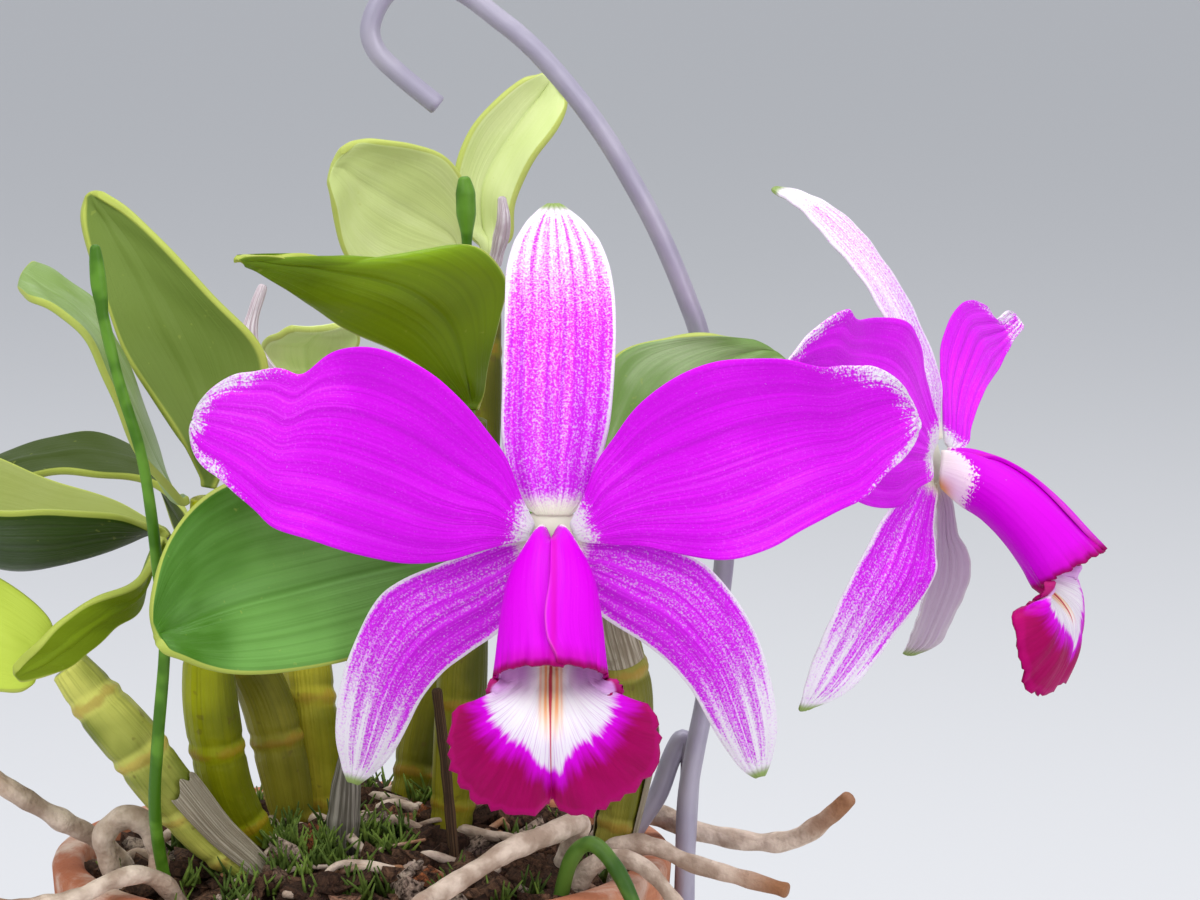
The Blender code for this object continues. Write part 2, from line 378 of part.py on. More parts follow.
# radius at the start, the middle and the end of each, and sides round
ROUND_SIZE = {
    "hanger": (WIRE_RADIUS, WIRE_RADIUS, WIRE_RADIUS, 8),
    "root_back_right": (1.9, 1.8, 1.5, 7), "root_right": (1.9, 1.7, 1.3, 7),
    "root_low_right": (1.6, 1.5, 1.1, 7), "root_front": (1.9, 1.8, 1.4, 7),
    "root_left": (1.9, 1.8, 1.6, 7), "root_low_left": (1.7, 1.6, 1.4, 7),
    "root_arch": (1.8, 1.9, 1.7, 7), "green_stem": (1.3, 1.4, 1.1, 7),
    "dry_stump": (1.3, 3.0, 3.2, 9), "stake": (0.9, 0.9, 0.9, 7),
    "seed_stalk_1": (1.0, 0.9, 1.1, 6), "seed_stalk_2": (0.9, 0.8, 1.0, 6),
    "bract_1": (1.2, 1.6, 0.9, 7), "bract_2": (1.3, 1.4, 0.8, 7), "peduncle": (1.5, 1.6, 1.6, 8),
}

# Surface colour (linear red, green, blue) and roughness
COLOURS = {
    "clay": ((0.42, 0.155, 0.075), 0.85),
    "bark": ((0.16, 0.09, 0.055), 0.9),
    "wire": ((0.52, 0.50, 0.52), 0.4),
    "leaf": ((0.105, 0.23, 0.055), 0.4),
    "leaf_pale": ((0.42, 0.55, 0.18), 0.5),
    "cane": ((0.33, 0.34, 0.045), 0.5),
    "root": ((0.47, 0.38, 0.27), 0.8),
    "dry": ((0.52, 0.46, 0.38), 0.85),
    "stem": ((0.12, 0.30, 0.05), 0.5),
    "petal": ((0.60, 0.01, 0.78), 0.5),
    "lip": ((0.35, 0.003, 0.22), 0.5),
    "sepal": ((0.66, 0.18, 0.78), 0.5),
    "column": ((0.75, 0.60, 0.72), 0.45),
    "pedicel": ((0.36, 0.42, 0.20), 0.5),
}


def material(name):
    """Return the named plain material, made on first use."""
    found = bpy.data.materials.get(name)
    if found:
        return found
    colour, rough = COLOURS[name]
    mat = bpy.data.materials.new(name)
    mat.use_nodes = True
    shader = mat.node_tree.nodes["Principled BSDF"]
    shader.inputs["Base Color"].default_value = (*colour, 1.0)
    shader.inputs["Roughness"].default_value = rough
    mat.diffuse_color = (*colour, 1.0)
    return mat


def add(name, verts, faces, mat):
    """Make a mesh object from points in millimetres."""
    mesh = bpy.data.meshes.new(name)
    mesh.from_pydata([tuple(float(c) * 0.001 for c in v) for v in verts], [], faces)
    mesh.validate()
    bm = bmesh.new()
    bm.from_mesh(mesh)
    bmesh.ops.recalc_face_normals(bm, faces=bm.faces)
    bm.to_mesh(mesh)
    bm.free()
    obj = bpy.data.objects.new(name, mesh)
    bpy.context.scene.collection.objects.link(obj)
    mesh.materials.append(material(mat))
    return obj


def smooth(rows, at):
    """Run a Catmull-Rom curve through rows of numbers and read it at 0..1."""
    rows = np.asarray(rows, float)
    n = len(rows)
    flat = rows.reshape(n, -1)
    p = np.vstack([2 * flat[0] - flat[1], flat, 2 * flat[-1] - flat[-2]])
    out = []
    for t in at:
        x = min(max(t, 0.0), 1.0) * (n - 1)
        i = min(int(x), n - 2)
        f = x - i
        a, b, c, d = p[i], p[i + 1], p[i + 2], p[i + 3]
        out.append(0.5 * (2 * b + (c - a) * f + (2 * a - 5 * b + 4 * c - d) * f * f
                          + (3 * b - a - 3 * c + d) * f ** 3))
    return np.array(out).reshape((len(at),) + rows.shape[1:])


def thicken(name, pts, quads, thick, mat):
    """Give a sheet of quads an even thickness; both faces are split alike."""
    pts = np.asarray(pts, float)
    normal = np.zeros_like(pts)
    for a, b, c, d in quads:
        n = np.cross(pts[c] - pts[a], pts[d] - pts[b])
        for i in (a, b, c, d):
            normal[i] += n
    normal /= np.linalg.norm(normal, axis=1)[:, None] + 1e-12
    count = len(pts)
    verts = np.vstack([pts + normal * thick / 2, pts - normal * thick / 2])
    faces = []
    edges = set()
    for a, b, c, d in quads:
        faces += [(a, b, c), (a, c, d), (count + c, count + b, count + a), (count + d, count + c, count + a)]
        edges |= {(a, b), (b, c), (c, d), (d, a)}
    for a, b in edges:
        if (b, a) not in edges:
            faces.append((a, count + a, count + b, b))
    return add(name, verts, faces, mat)


def grid_quads(rows, cols):
    return [(r * cols + c, r * cols + c + 1, (r + 1) * cols + c + 1, (r + 1) * cols + c)
            for r in range(rows - 1) for c in range(cols - 1)]


def rib_grid(table, rows, cols, fold=2.0, wave=0.0):
    """Points of a sheet from its rows of left edge, midrib and right edge."""
    table = np.asarray(table, float).reshape(-1, 3, 3)
    t = np.linspace(0, 1, rows)
    ribs = smooth(table, t)
    v = np.linspace(-1, 1, cols)
    left, mid, right = ribs[:, 0], ribs[:, 1], ribs[:, 2]
    grid = np.zeros((rows, cols, 3))
    for j, x in enumerate(v):
        grid[:, j] = mid + x * (right - left) / 2 + abs(x) ** fold * ((left + right) / 2 - mid)
    if wave:
        across = right - left
        along = np.gradient(mid, axis=0)
        up = np.cross(along, across)
        up /= np.linalg.norm(up, axis=1)[:, None]
        for j, x in enumerate(v):
            size = wave * x * x * np.sin(t * 19.0 + 2.0 * x) * np.minimum(1, 6 * t) * np.minimum(1, 5 * (1 - t))
            grid[:, j] += up * size[:, None]
    return grid


class Bloom:
    """Axes of one bloom: right, up and out of the face."""

    def __init__(self, centre, turn, nod, size):
        y, n = math.radians(turn), math.radians(nod)
        self.centre, self.size = np.array(centre), size
        self.right = np.array([math.cos(y), math.sin(y), 0.0])
        self.out = np.array([math.sin(y) * math.cos(n), -math.cos(y) * math.cos(n), -math.sin(n)])
        self.up = np.cross(self.out, -self.right) * -1.0
        if self.up[2] < 0:
            self.up = -self.up

    def place(self, pts):
        p = np.asarray(pts, float) * self.size
        return self.centre + p[..., :1] * self.right + p[..., 1:2] * self.up + p[..., 2:3] * self.out


def tube(name, path, mat, sides=8, step=None, cut=None):
    """Round rod along x, y, z, radius rows, with domed ends."""
    path = np.asarray(path, float)
    count = step or len(path) * 2 - 1
    rows = smooth(path, np.linspace(0, 1, count))
    pos, rad = rows[:, :3], rows[:, 3]
    tangent = np.gradient(pos, axis=0)
    tangent /= np.linalg.norm(tangent, axis=1)[:, None]
    side = np.cross(tangent[0], (0.31, 0.87, 0.38))
    side /= np.linalg.norm(side)
    rings, centre = [], []
    ends = [(0, -0.75, 0.62)] + [(i, 0.0, 1.0) for i in range(count)] + [(count - 1, 0.75, 0.62)]
    for i, push, scale in ends:
        side = side - tangent[i] * np.dot(side, tangent[i])
        side /= np.linalg.norm(side)
        other = np.cross(tangent[i], side)
        base = pos[i] + tangent[i] * push * rad[i] * 0.55
        rings.append([base + rad[i] * scale * (math.cos(2 * math.pi * k / sides) * side
                                               + math.sin(2 * math.pi * k / sides) * other)
                      for k in range(sides)])
        centre.append(base)
    verts = [p for ring in rings for p in ring] + [centre[0], centre[-1]]
    faces = []
    for r in range(len(rings) - 1):
        for k in range(sides):
            a, b = r * sides + k, r * sides + (k + 1) % sides
            faces.append((a, b, b + sides, a + sides))
    first, last = len(verts) - 2, len(verts) - 1
    top = (len(rings) - 1) * sides
    for k in range(sides):
        faces.append((first, (k + 1) % sides, k))
        faces.append((last, top + k, top + (k + 1) % sides))
    obj = add(name, verts, faces, mat)
    if cut:
        obj.hide_render = True
        obj.display_type = "WIRE"
    return obj


def revolve(name, profile, sides, mat):
    """Turn a closed profile of radius, height points about Z."""
    verts, faces = [], []
    ring = []
    for r, z in profile:
        if r < 1e-6:
            ring.append([len(verts)])
            verts.append((0, 0, z))
        else:
            ring.append(list(range(len(verts), len(verts) + sides)))
            verts += [(r * math.cos(2 * math.pi * k / sides), r * math.sin(2 * math.pi * k / sides), z)
                      for k in range(sides)]
    for a, b in zip(ring, ring[1:] + ring[:1]):
        if len(a) == 1 and len(b) == 1:
            continue
        for k in range(sides):
            n = (k + 1) % sides
            if len(a) == 1:
                faces.append((a[0], b[k], b[n]))
            elif len(b) == 1:
                faces.append((a[k], a[n], b[0]))
            else:
                faces.append((a[k], a[n], b[n], b[k]))
    return add(name, verts, faces, mat)


def cut_with(obj, cutters):
    """Take each cutter out of the object."""
    for i, tool in enumerate(cutters):
        tool.hide_render = True
        tool.display_type = "WIRE"
        mod = obj.modifiers.new("cut_%02d" % i, "BOOLEAN")
        mod.operation = "DIFFERENCE"
        mod.solver = "EXACT"
        mod.object = tool


def build_pot():
    collar = POT_HEIGHT - COLLAR_HEIGHT
    rim_in = RIM_RADIUS - WALL
    profile = [
        (0, 0), (BASE_RADIUS - 1, 0), (BASE_RADIUS, 1), (BODY_TOP_RADIUS, collar),
        (RIM_RADIUS - 1.8, collar), (RIM_RADIUS, POT_HEIGHT - 1), (RIM_RADIUS - 1, POT_HEIGHT),
        (rim_in + 1, POT_HEIGHT), (rim_in, POT_HEIGHT - 1), (rim_in - 1.5, collar + 2),
        (BODY_TOP_RADIUS - WALL, collar - 4), (BASE_RADIUS - WALL + 0.8, FLOOR + 2),
        (BASE_RADIUS - WALL - 1, FLOOR), (0, FLOOR),
    ]
    return revolve("pot", profile, 36, "clay")


def wall_radius(z):
    """Inner radius of the pot at a height, less the working gap."""
    collar = POT_HEIGHT - COLLAR_HEIGHT
    rows = [(FLOOR, BASE_RADIUS - WALL - 1), (FLOOR + 2, BASE_RADIUS - WALL + 0.8),
            (collar - 4, BODY_TOP_RADIUS - WALL), (collar + 2, RIM_RADIUS - WALL - 1.5),
            (POT_HEIGHT - 1, RIM_RADIUS - WALL)]
    return float(np.interp(z, [r[0] for r in rows], [r[1] for r in rows])) - GAP


def build_medium(cutters):
    """Bark chips as a domed top of flat facets over the pot's own inner shape."""
    rng = random.Random(31)
    seeds = []
    for _ in range(CHIP_COUNT):
        a, r = rng.uniform(0, 2 * math.pi), 46.0 * math.sqrt(rng.random())
        tilt = (rng.uniform(-0.22, 0.22), rng.uniform(-0.22, 0.22))
        seeds.append((r * math.cos(a), r * math.sin(a), rng.uniform(-CHIP_LIFT, CHIP_LIFT), tilt))
    sides, rings = 36, 8
    collar = POT_HEIGHT - COLLAR_HEIGHT
    verts, faces = [], []
    for i in range(rings + 1):
        frac = i / rings
        radius = frac * wall_radius(EDGE_TOP)
        for k in range(sides if i else 1):
            a = 2 * math.pi * (k + 0.5 * (i % 2)) / sides
            x, y = radius * math.cos(a), radius * math.sin(a)
            sx, sy, lift, tilt = min(seeds, key=lambda s: (s[0] - x) ** 2 + (s[1] - y) ** 2)
            z = EDGE_TOP + (DOME_TOP - EDGE_TOP) * (1 - frac ** 2.2)
            if i < rings:
                z += lift + tilt[0] * (x - sx) + tilt[1] * (y - sy)
            verts.append((x, y, min(z, POT_HEIGHT + 8)))
    for k in range(sides):
        faces.append((0, 1 + k, 1 + (k + 1) % sides))
    for i in range(1, rings):
        for k in range(sides):
            a, b = 1 + (i - 1) * sides + k, 1 + (i - 1) * sides + (k + 1) % sides
            c, d = b + sides, a + sides
            if i % 2:
                faces += [(a, d, b), (b, d, c)]
            else:
                faces += [(a, d, c), (a, c, b)]
    last = 1 + (rings - 1) * sides
    for z in (collar + 2, collar - 4, FLOOR + 2.2, FLOOR + GAP):
        radius = wall_radius(z)
        start = len(verts)
        shift = 0.5 * (rings % 2)
        verts += [(radius * math.cos(2 * math.pi * (k + shift) / sides),
                   radius * math.sin(2 * math.pi * (k + shift) / sides), z) for k in range(sides)]
        for k in range(sides):
            n = (k + 1) % sides
            faces.append((last + k, last + n, start + n, start + k))
        last = start
    verts.append((0, 0, FLOOR + GAP))
    for k in range(sides):
        faces.append((last + k, last + (k + 1) % sides, len(verts) - 1))
    medium = add("potting_medium", verts, faces, "bark")
    cut_with(medium, cutters)
    return medium


def swell(path, extra):
    """The same path with a larger radius, run a little past its far end."""
    rows = [tuple(p) for p in path]
    return [(x, y, z, r + extra) for x, y, z, r in rows]


def below_surface(path):
    """Part of a path that runs in or near the medium, for its hole."""
    fine = smooth(np.asarray(path, float), np.linspace(0, 1, len(path) * 4))
    keep = [tuple(p) for p in fine if p[2] < DOME_TOP + 8 and math.hypot(p[0], p[1]) < RIM_RADIUS - WALL + 1.5]
    return keep


def round_rows(name):
    points = ROUND_PARTS[name]
    first, middle, last, _ = ROUND_SIZE[name]
    n = len(points) - 1
    rows = []
    for i, p in enumerate(points):
        t = i / n
        rows.append((*p, first + (middle - first) * 2 * t if t < 0.5 else middle + (last - middle) * (2 * t - 1)))
    if name == "seed_stalk_1":
        swollen = {0: 0.8, 1: 1.2, 2: 1.3, 3: 1.0}
    elif name == "seed_stalk_2":
        swollen = {0: 1.0, 1: 1.7, 2: 1.6, 3: 1.0}
    else:
        swollen = {}
    return [(*r[:3], swollen.get(i, r[3])) for i, r in enumerate(rows)]


def build_leaf(name):
    cane, way, fold, reach = LEAF_SEAT[name]
    top = np.array(CANES[cane][0][:3])
    way = np.array(way) / np.linalg.norm(way)
    table = np.asarray(LEAF_ROWS[name], float).reshape(-1, 3, 3)
    across = table[0, 2] - table[0, 0]
    across -= way * np.dot(across, way)
    across /= np.linalg.norm(across)
    base = top + way * reach
    neck = base + way * 2.2
    rows = [[base - across * 1.2, base, base + across * 1.2], [neck - across * 1.9, neck, neck + across * 1.9]]
    table = np.vstack([np.array(rows), table])
    pale = name in ("leaf_5", "leaf_10", "leaf_11", "leaf_12")
    grid = rib_grid(table, len(table) + 4, 5, fold)
    return thicken(name, grid.reshape(-1, 3), grid_quads(*grid.shape[:2]), LEAF_THICK,
                   "leaf_pale" if pale else "leaf")


def lip_points(cols_floor=15, cols_side=4, tube_rows=7, lobe_rows=6):
    """Tube and middle lobe of the lip as one sheet."""
    half_floor = math.radians(74)
    end = math.radians(178.2)
    floor = list(np.linspace(-half_floor, half_floor, cols_floor))
    side = list(np.linspace(half_floor, end, cols_side + 1))[1:]
    angles = [-a for a in reversed(side)] + floor + side
    stations = smooth(LIP_TUBE, np.linspace(0, 1, tube_rows))
    pts, quads = [], []
    for i, (fu, ff, ru, rf, half) in enumerate(stations):
        flare = 0.14 * (i / (tube_rows - 1)) ** 6
        for a in angles:
            blend = (1 - math.cos(a)) / 2
            wide = half * (1 + flare * math.exp(-((abs(a) - 1.35) / 0.5) ** 2))
            pts.append((wide * math.sin(a), fu + (ru - fu) * blend, ff + (rf - ff) * blend))
    cols = len(angles)
    quads += grid_quads(tube_rows, cols)
    first = (tube_rows - 1) * cols + cols_side
    inner = np.array(pts[first:first + cols_floor])
    outer = smooth(LIP_EDGE, np.linspace(0, 1, cols_floor))
    previous = list(range(first, first + cols_floor))
    v = np.linspace(-1, 1, cols_floor)
    for j in range(1, lobe_rows):
        g = j / (lobe_rows - 1)
        ruffle = 0.55 * g * g * np.sin(np.arange(cols_floor) * 2.4)
        bulge = 5.6 * (4 * g * (1 - g)) * (1 - 0.75 * v ** 2) * (1 - 0.25 * g)
        row = inner * (1 - g) + outer * g
        row[:, 2] += bulge + ruffle
        row[:, 1] += 0.25 * bulge
        start = len(pts)
        pts += [tuple(p) for p in row]
        now = list(range(start, start + cols_floor))
        quads += [(previous[c], previous[c + 1], now[c + 1], now[c]) for c in range(cols_floor - 1)]
        previous = now
    return np.array(pts), quads


def build_bloom(label, centre, turn, nod, size):
    bloom = Bloom(centre, turn, nod, size)
    for part, table, wave, mat in (
            ("dorsal_sepal", DORSAL, 0.15, "sepal"),
            ("petal_left", PETAL_LEFT, 0.35, "petal"),
            ("petal_right", PETAL_RIGHT, 0.35, "petal"),
            ("sepal_left", LATERAL_LEFT, 0.15, "sepal"),
            ("sepal_right", LATERAL_RIGHT, 0.15, "sepal")):
        own = BLOOM_2_ROWS.get(part) if label == "flower_2" else None
        grid = rib_grid(own or table, len(own or table) + 1, 7, 2.0, wave)
        pts = (grid if own else bloom.place(grid)).reshape(-1, 3)
        thicken(label + "_" + part, pts, grid_quads(*grid.shape[:2]), TEPAL_THICK, mat)
    pts, quads = lip_points()
    if label == "flower_2":
        drop = np.maximum(0.0, -20.0 - pts[:, 1])
        pts[:, 1] += LOBE_LIFT * drop
        pts[:, 2] += 0.45 * LOBE_LIFT * drop
    thicken(label + "_lip", bloom.place(pts), quads, TEPAL_THICK, "lip")
    rows = [(*bloom.place((0, u, f)), r * size) for u, f, r in COLUMN]
    tube(label + "_column", rows, "column", sides=8, step=7)
    return bloom


def pedicel(label, bloom, path):
    """Ovary and stalk, ending in the hub that the sepals and petals stand round."""
    hub = [((0, -1.3, -0.9), 2.7), ((0, -1.2, -2.8), 2.6), ((0, -1.0, -6.0), 1.8)]
    rows = [(*bloom.place(p), r * bloom.size) for p, r in hub] + path
    tube(label + "_pedicel", rows, "pedicel", sides=9, step=len(rows) * 2)


def main():
    for obj in list(bpy.data.objects):
        bpy.data.objects.remove(obj, do_unlink=True)
    build_pot()
    cutters = []
    for name, rows in CANES.items():
        tube(name, rows, "cane", sides=8, step=11)
        cutters.append((name, rows, 8))
    for name in ROUND_PARTS:
        rows = round_rows(name)
        sides = ROUND_SIZE[name][3]
        mat = "root" if name.startswith("root") else {
            "hanger": "wire", "green_stem": "stem", "dry_stump": "dry", "stake": "bark",
            "bract_1": "dry", "bract_2": "dry", "peduncle": "stem"}.get(name, "stem")
        tube(name, rows, mat, sides=sides, step=len(rows) * 2 - 1 if name != "hanger" else 66)
        if name not in ("bract_1", "bract_2", "peduncle"):
            cutters.append((name, rows, sides))
    tools = []
    for name, rows, sides in cutters:
        deep = below_surface(rows)
        if len(deep) < 3:
            continue
        tools.append(tube("hole_" + name, swell(deep, 0.5), "bark", sides=sides,
                          step=max(4, len(deep) // 3)))
    build_medium(tools)
    for name in LEAF_SEAT:
        build_leaf(name)
    one = build_bloom("flower_1", *BLOOM_1)
    two = build_bloom("flower_2", *BLOOM_2)
    pedicel("flower_1", one, [(34, -52, 162, 1.6), (37, -43, 163, 1.5), (39.2, -35, 161.6, 1.5)])
    pedicel("flower_2", two, [(82, -17, 164, 1.6), (68, -25, 160.5, 1.5), (53, -31, 159.2, 1.5),
                              (42.2, -33.15, 160.15, 1.5)])


main()
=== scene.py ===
"""The looks of a potted cattleya orchid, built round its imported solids."""

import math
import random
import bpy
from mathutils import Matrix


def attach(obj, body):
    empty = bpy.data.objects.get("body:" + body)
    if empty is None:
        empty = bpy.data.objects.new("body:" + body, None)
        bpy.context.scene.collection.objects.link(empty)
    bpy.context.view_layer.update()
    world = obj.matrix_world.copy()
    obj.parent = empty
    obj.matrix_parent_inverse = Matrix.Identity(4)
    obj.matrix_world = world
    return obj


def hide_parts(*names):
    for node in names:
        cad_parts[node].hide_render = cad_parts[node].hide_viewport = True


bl_info = {
    "name": "Potted Cattleya Orchid",
    "version": (1, 0, 0),
    "blender": (4, 5, 0),
    "location": "3D View > Sidebar > Orchid",
    "description": "Builds the blooms, leaves, canes, roots, bark, clay pot and wire of an orchid",
    "category": "Object",
}

import bmesh
import bpy
import numpy as np
from bpy.props import FloatProperty, FloatVectorProperty, IntProperty, PointerProperty
from mathutils import Matrix, Vector, noise

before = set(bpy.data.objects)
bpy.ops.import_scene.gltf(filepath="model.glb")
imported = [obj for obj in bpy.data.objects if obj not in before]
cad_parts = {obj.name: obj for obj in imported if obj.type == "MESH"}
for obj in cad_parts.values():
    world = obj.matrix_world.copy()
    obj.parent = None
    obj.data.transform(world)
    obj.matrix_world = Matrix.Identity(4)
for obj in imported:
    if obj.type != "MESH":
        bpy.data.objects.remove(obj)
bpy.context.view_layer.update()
MM = 0.001

# faces across and along each sheet, round and along each tube; the lip's tube has half its
# faces round, those of them in its floor, its rows, and the rows of its lobe
TEPAL_GRID, LEAF_GRID, CANE_GRID, SHEATH_GRID = (28, 46), (18, 34), (36, 120), (30, 34)
LIP_GRID = (104, 41, 30, 26)
# radius in mm of a petal's round end
PETAL_END = 9.0
# the bark bed is a low dome: its height at the rim, how far it rises, its radius, all in mm
BED_EDGE, BED_RISE, BED_RADIUS = 91.0, 10.0, 46.0
ROOTLETS, MOSS_TUFTS = 46, 90
# stage, in metres, degrees and watts
FLOOR_HALF = 14.0
LIGHTS = {"key": ((-0.7, -1.1, 1.25), 1.0, 11.5), "fill": ((0.9, -1.0, 0.6), 1.0, 6.0),
          "top": ((0.1, 0.1, 1.3), 0.9, 9.0)}
LIT_SPOT = (0.02, -0.03, 0.14)
CAMERA_SPOT, CAMERA_TILT, VIEW_ANGLE = (0.04032, -0.69212, 0.26146), 82.0, 16.4

# Sheets are given from base to tip. One row holds the left edge, the midrib and the
# right edge, x, y, z each, in millimetres. Bloom rows are to the viewer's right, up and
# out of the bloom's face.

# each bloom: its centre, turn and nod in degrees, and size
BLOOM_1 = ((33.0, -65.0, 161.0), 0.0, 5.0, 1.0)
BLOOM_2 = ((96.5, -11.0, 164.9), 70.0, 2.0, 1.02)
# how far the second bloom's front lobe bends up, as a share of how low it hangs
LOBE_LIFT = 0.14

# dorsal sepal
DORSAL = [
    (-1.7, 1.9, -1.3, 0.2, 1.9, -1.2, 2.1, 1.9, -1.3), (-3.8, 4.3, -1.7, 0.2, 4.4, -1.3, 4.2, 4.3, -1.7),
    (-5.5, 7.3, -2.1, 0.2, 7.5, -1.6, 5.9, 7.3, -2.1), (-7, 10.3, -2.8, 0.1, 10.4, -2.2, 7.2, 10.3, -2.8),
    (-7.8, 14.7, -4.3, 0.5, 14.8, -3.7, 8.7, 14.7, -4.3), (-7.7, 20.4, -6.8, 0.8, 20.5, -6.1, 9.4, 20.4, -6.8),
    (-7.5, 27.3, -10.9, 1.2, 27.5, -10.2, 9.8, 27.3, -10.9),
    (-7.4, 32.7, -15.8, 1.1, 32.8, -15.1, 9.7, 32.7, -15.8), (-7.3, 36.5, -20.2, 0.9, 36.7, -19.5, 9, 36.5, -20.2),
    (-6.5, 39.4, -23.6, 0.7, 39.5, -23, 7.8, 39.4, -23.6), (-5.3, 41.4, -26.3, 0.5, 41.5, -25.9, 6.3, 41.4, -26.3),
    (-3.6, 43.2, -28.8, 0.3, 43.3, -28.5, 4.2, 43.2, -28.8), (-2, 44.4, -30.6, 0.1, 44.4, -30.4, 2.1, 44.4, -30.6),
    (-0.8, 45, -31.6, -0.1, 45, -31.5, 0.7, 45, -31.6),
]
# left petal, with the cut in its upper edge
PETAL_LEFT = [
    (-2.6, 0.6, 0.2, -2.9, -0.3, 0.3, -3.1, -1.1, 0.2), (-5, 5, 0.5, -6.1, 1.4, 0.7, -7, -1.5, 0.5),
    (-7, 11.2, 1, -9.5, 3.5, 1.2, -11.5, -2.8, 1), (-9.5, 15.5, 1.9, -13, 4.4, 1.7, -15.8, -4.4, 1.4),
    (-13.1, 20.6, 3, -17.6, 6.2, 2.2, -21.2, -5, 1.9), (-17.5, 24.9, 3.3, -22.7, 8.6, 1.9, -26.8, -4, 2.6),
    (-22.8, 27.7, 2.3, -28.3, 10.7, 1.4, -32.5, -2.4, 2.4), (-28, 29.2, 3, -33.6, 12.1, 0.5, -37.8, -0.8, 1.5),
    (-33.4, 27.8, 0.6, -38.6, 12.1, -0.9, -42.5, 0.1, -0.3), (-37.7, 24, -1.3, -41.8, 11.6, -2, -44.9, 2, -1.4),
    (-41.3, 25, -2, -45.1, 13.4, -3.4, -48, 4.6, -2.7), (-46.8, 23.2, -4.7, -49.7, 14.6, -5.3, -51.9, 7.9, -5.1),
    (-51.7, 19.9, -6.6, -53.3, 15.3, -6.8, -54.5, 11.7, -6.9),
    (-53.8, 18.3, -7.3, -54.7, 15.7, -7.4, -55.4, 13.7, -7.5),
    (-55.1, 16.2, -7.6, -55.4, 15.2, -7.6, -55.7, 14.5, -7.7),
]
# right petal
PETAL_RIGHT = [
    (2.7, 0.6, 0.2, 3.1, -0.4, 0.3, 3.3, -1.2, 0.2), (5.1, 4.7, 0.5, 6.2, 1.2, 0.7, 7, -1.4, 0.5),
    (6.9, 10.4, 0.9, 9.1, 3.4, 1.2, 10.7, -1.8, 1), (9.4, 14.8, 1.8, 12.5, 4.9, 1.6, 14.8, -2.3, 1.4),
    (12.6, 19.7, 2.9, 16.8, 6.4, 2.2, 19.9, -3.4, 1.8), (17.8, 24, 3.2, 23.1, 7.6, 1.9, 26.9, -4.1, 2.6),
    (23.9, 26.7, 2.6, 29.4, 9.6, 1.3, 33.3, -2.4, 2.3), (29.4, 27, 1.1, 34.5, 11.3, 0.4, 38.1, 0.2, 1.5),
    (35.2, 27.1, 1.8, 39.9, 12.5, -1.4, 43.2, 2.5, -0.8), (40.8, 25.5, 0.6, 44.9, 12.9, -3.2, 47.7, 4.5, -2.5),
    (45.3, 25, -3.1, 48.7, 14.7, -4.9, 51.1, 7.6, -4.5), (49.8, 23.3, -5.6, 52.3, 15.9, -6.5, 54.1, 10.6, -6.6),
    (53.5, 20.6, -7.1, 54.9, 16.3, -7.5, 55.9, 13.3, -7.6), (55, 18.5, -7.6, 55.8, 16.2, -7.9, 56.3, 14.6, -7.9),
    (55.8, 17, -7.8, 56.2, 15.9, -8, 56.5, 15.1, -8),
]
# left lateral sepal
LATERAL_LEFT = [
    (-2.9, -2.2, -2, -2.3, -3.2, -1.1, -1.7, -4.6, -1.8), (-5.7, -2.9, -2.3, -4.1, -5.5, -1.4, -2.5, -8.4, -2.1),
    (-9.5, -3.5, -2.5, -7.1, -7.8, -1.6, -4.7, -12.5, -2.3),
    (-15.7, -5.4, -2.7, -11.9, -10.8, -1.8, -8.1, -16.7, -2.5),
    (-23.4, -8.8, -3.3, -18.1, -14.2, -2.4, -12.7, -20.2, -3.1),
    (-27.4, -12.5, -4.3, -22, -17.8, -3.4, -16.7, -23.5, -4.1),
    (-30.6, -19.1, -6.1, -25.5, -23.5, -5.2, -20.3, -28.4, -5.9),
    (-33, -26.2, -8.3, -27.9, -29.8, -7.4, -22.8, -33.9, -8.1),
    (-34.2, -35, -10.5, -29.6, -36.4, -9.6, -25, -38.4, -10.3),
    (-33.5, -40.8, -12.5, -30.7, -41.3, -11.6, -28, -42.3, -12.3),
    (-32.4, -44.5, -13.5, -31.7, -44.4, -12.6, -31.2, -44.9, -13.3),
]
# right lateral sepal
LATERAL_RIGHT = [
    (2.9, -2.2, -2, 2.3, -3.2, -1.1, 1.7, -4.6, -1.8), (5.8, -2.6, -2.3, 4.6, -5.5, -1.4, 3.5, -8.8, -2.1),
    (10.7, -1.7, -2.5, 8.2, -6.7, -1.6, 5.8, -12.1, -2.3), (15.8, -2.7, -2.7, 12.1, -8.6, -1.8, 8.4, -14.9, -2.5),
    (23, -5.9, -3.3, 18.2, -11.9, -2.4, 13.5, -18.4, -3.1),
    (28.1, -11.7, -4.3, 22.7, -16.5, -3.4, 17.4, -21.8, -4.1),
    (31.6, -18.3, -6.1, 26.5, -22.3, -5.2, 21.3, -26.8, -5.9),
    (33.8, -25.4, -8.3, 28.9, -28.6, -7.4, 24, -32.3, -8.1),
    (35.1, -33.7, -10.5, 30.7, -35.2, -9.6, 26.5, -37.2, -10.3),
    (34.4, -40, -12.5, 32, -40.6, -11.6, 29.5, -41.8, -12.3),
    (33.2, -43.5, -13.5, 32.6, -43.3, -12.6, 32.1, -43.7, -13.3),
]
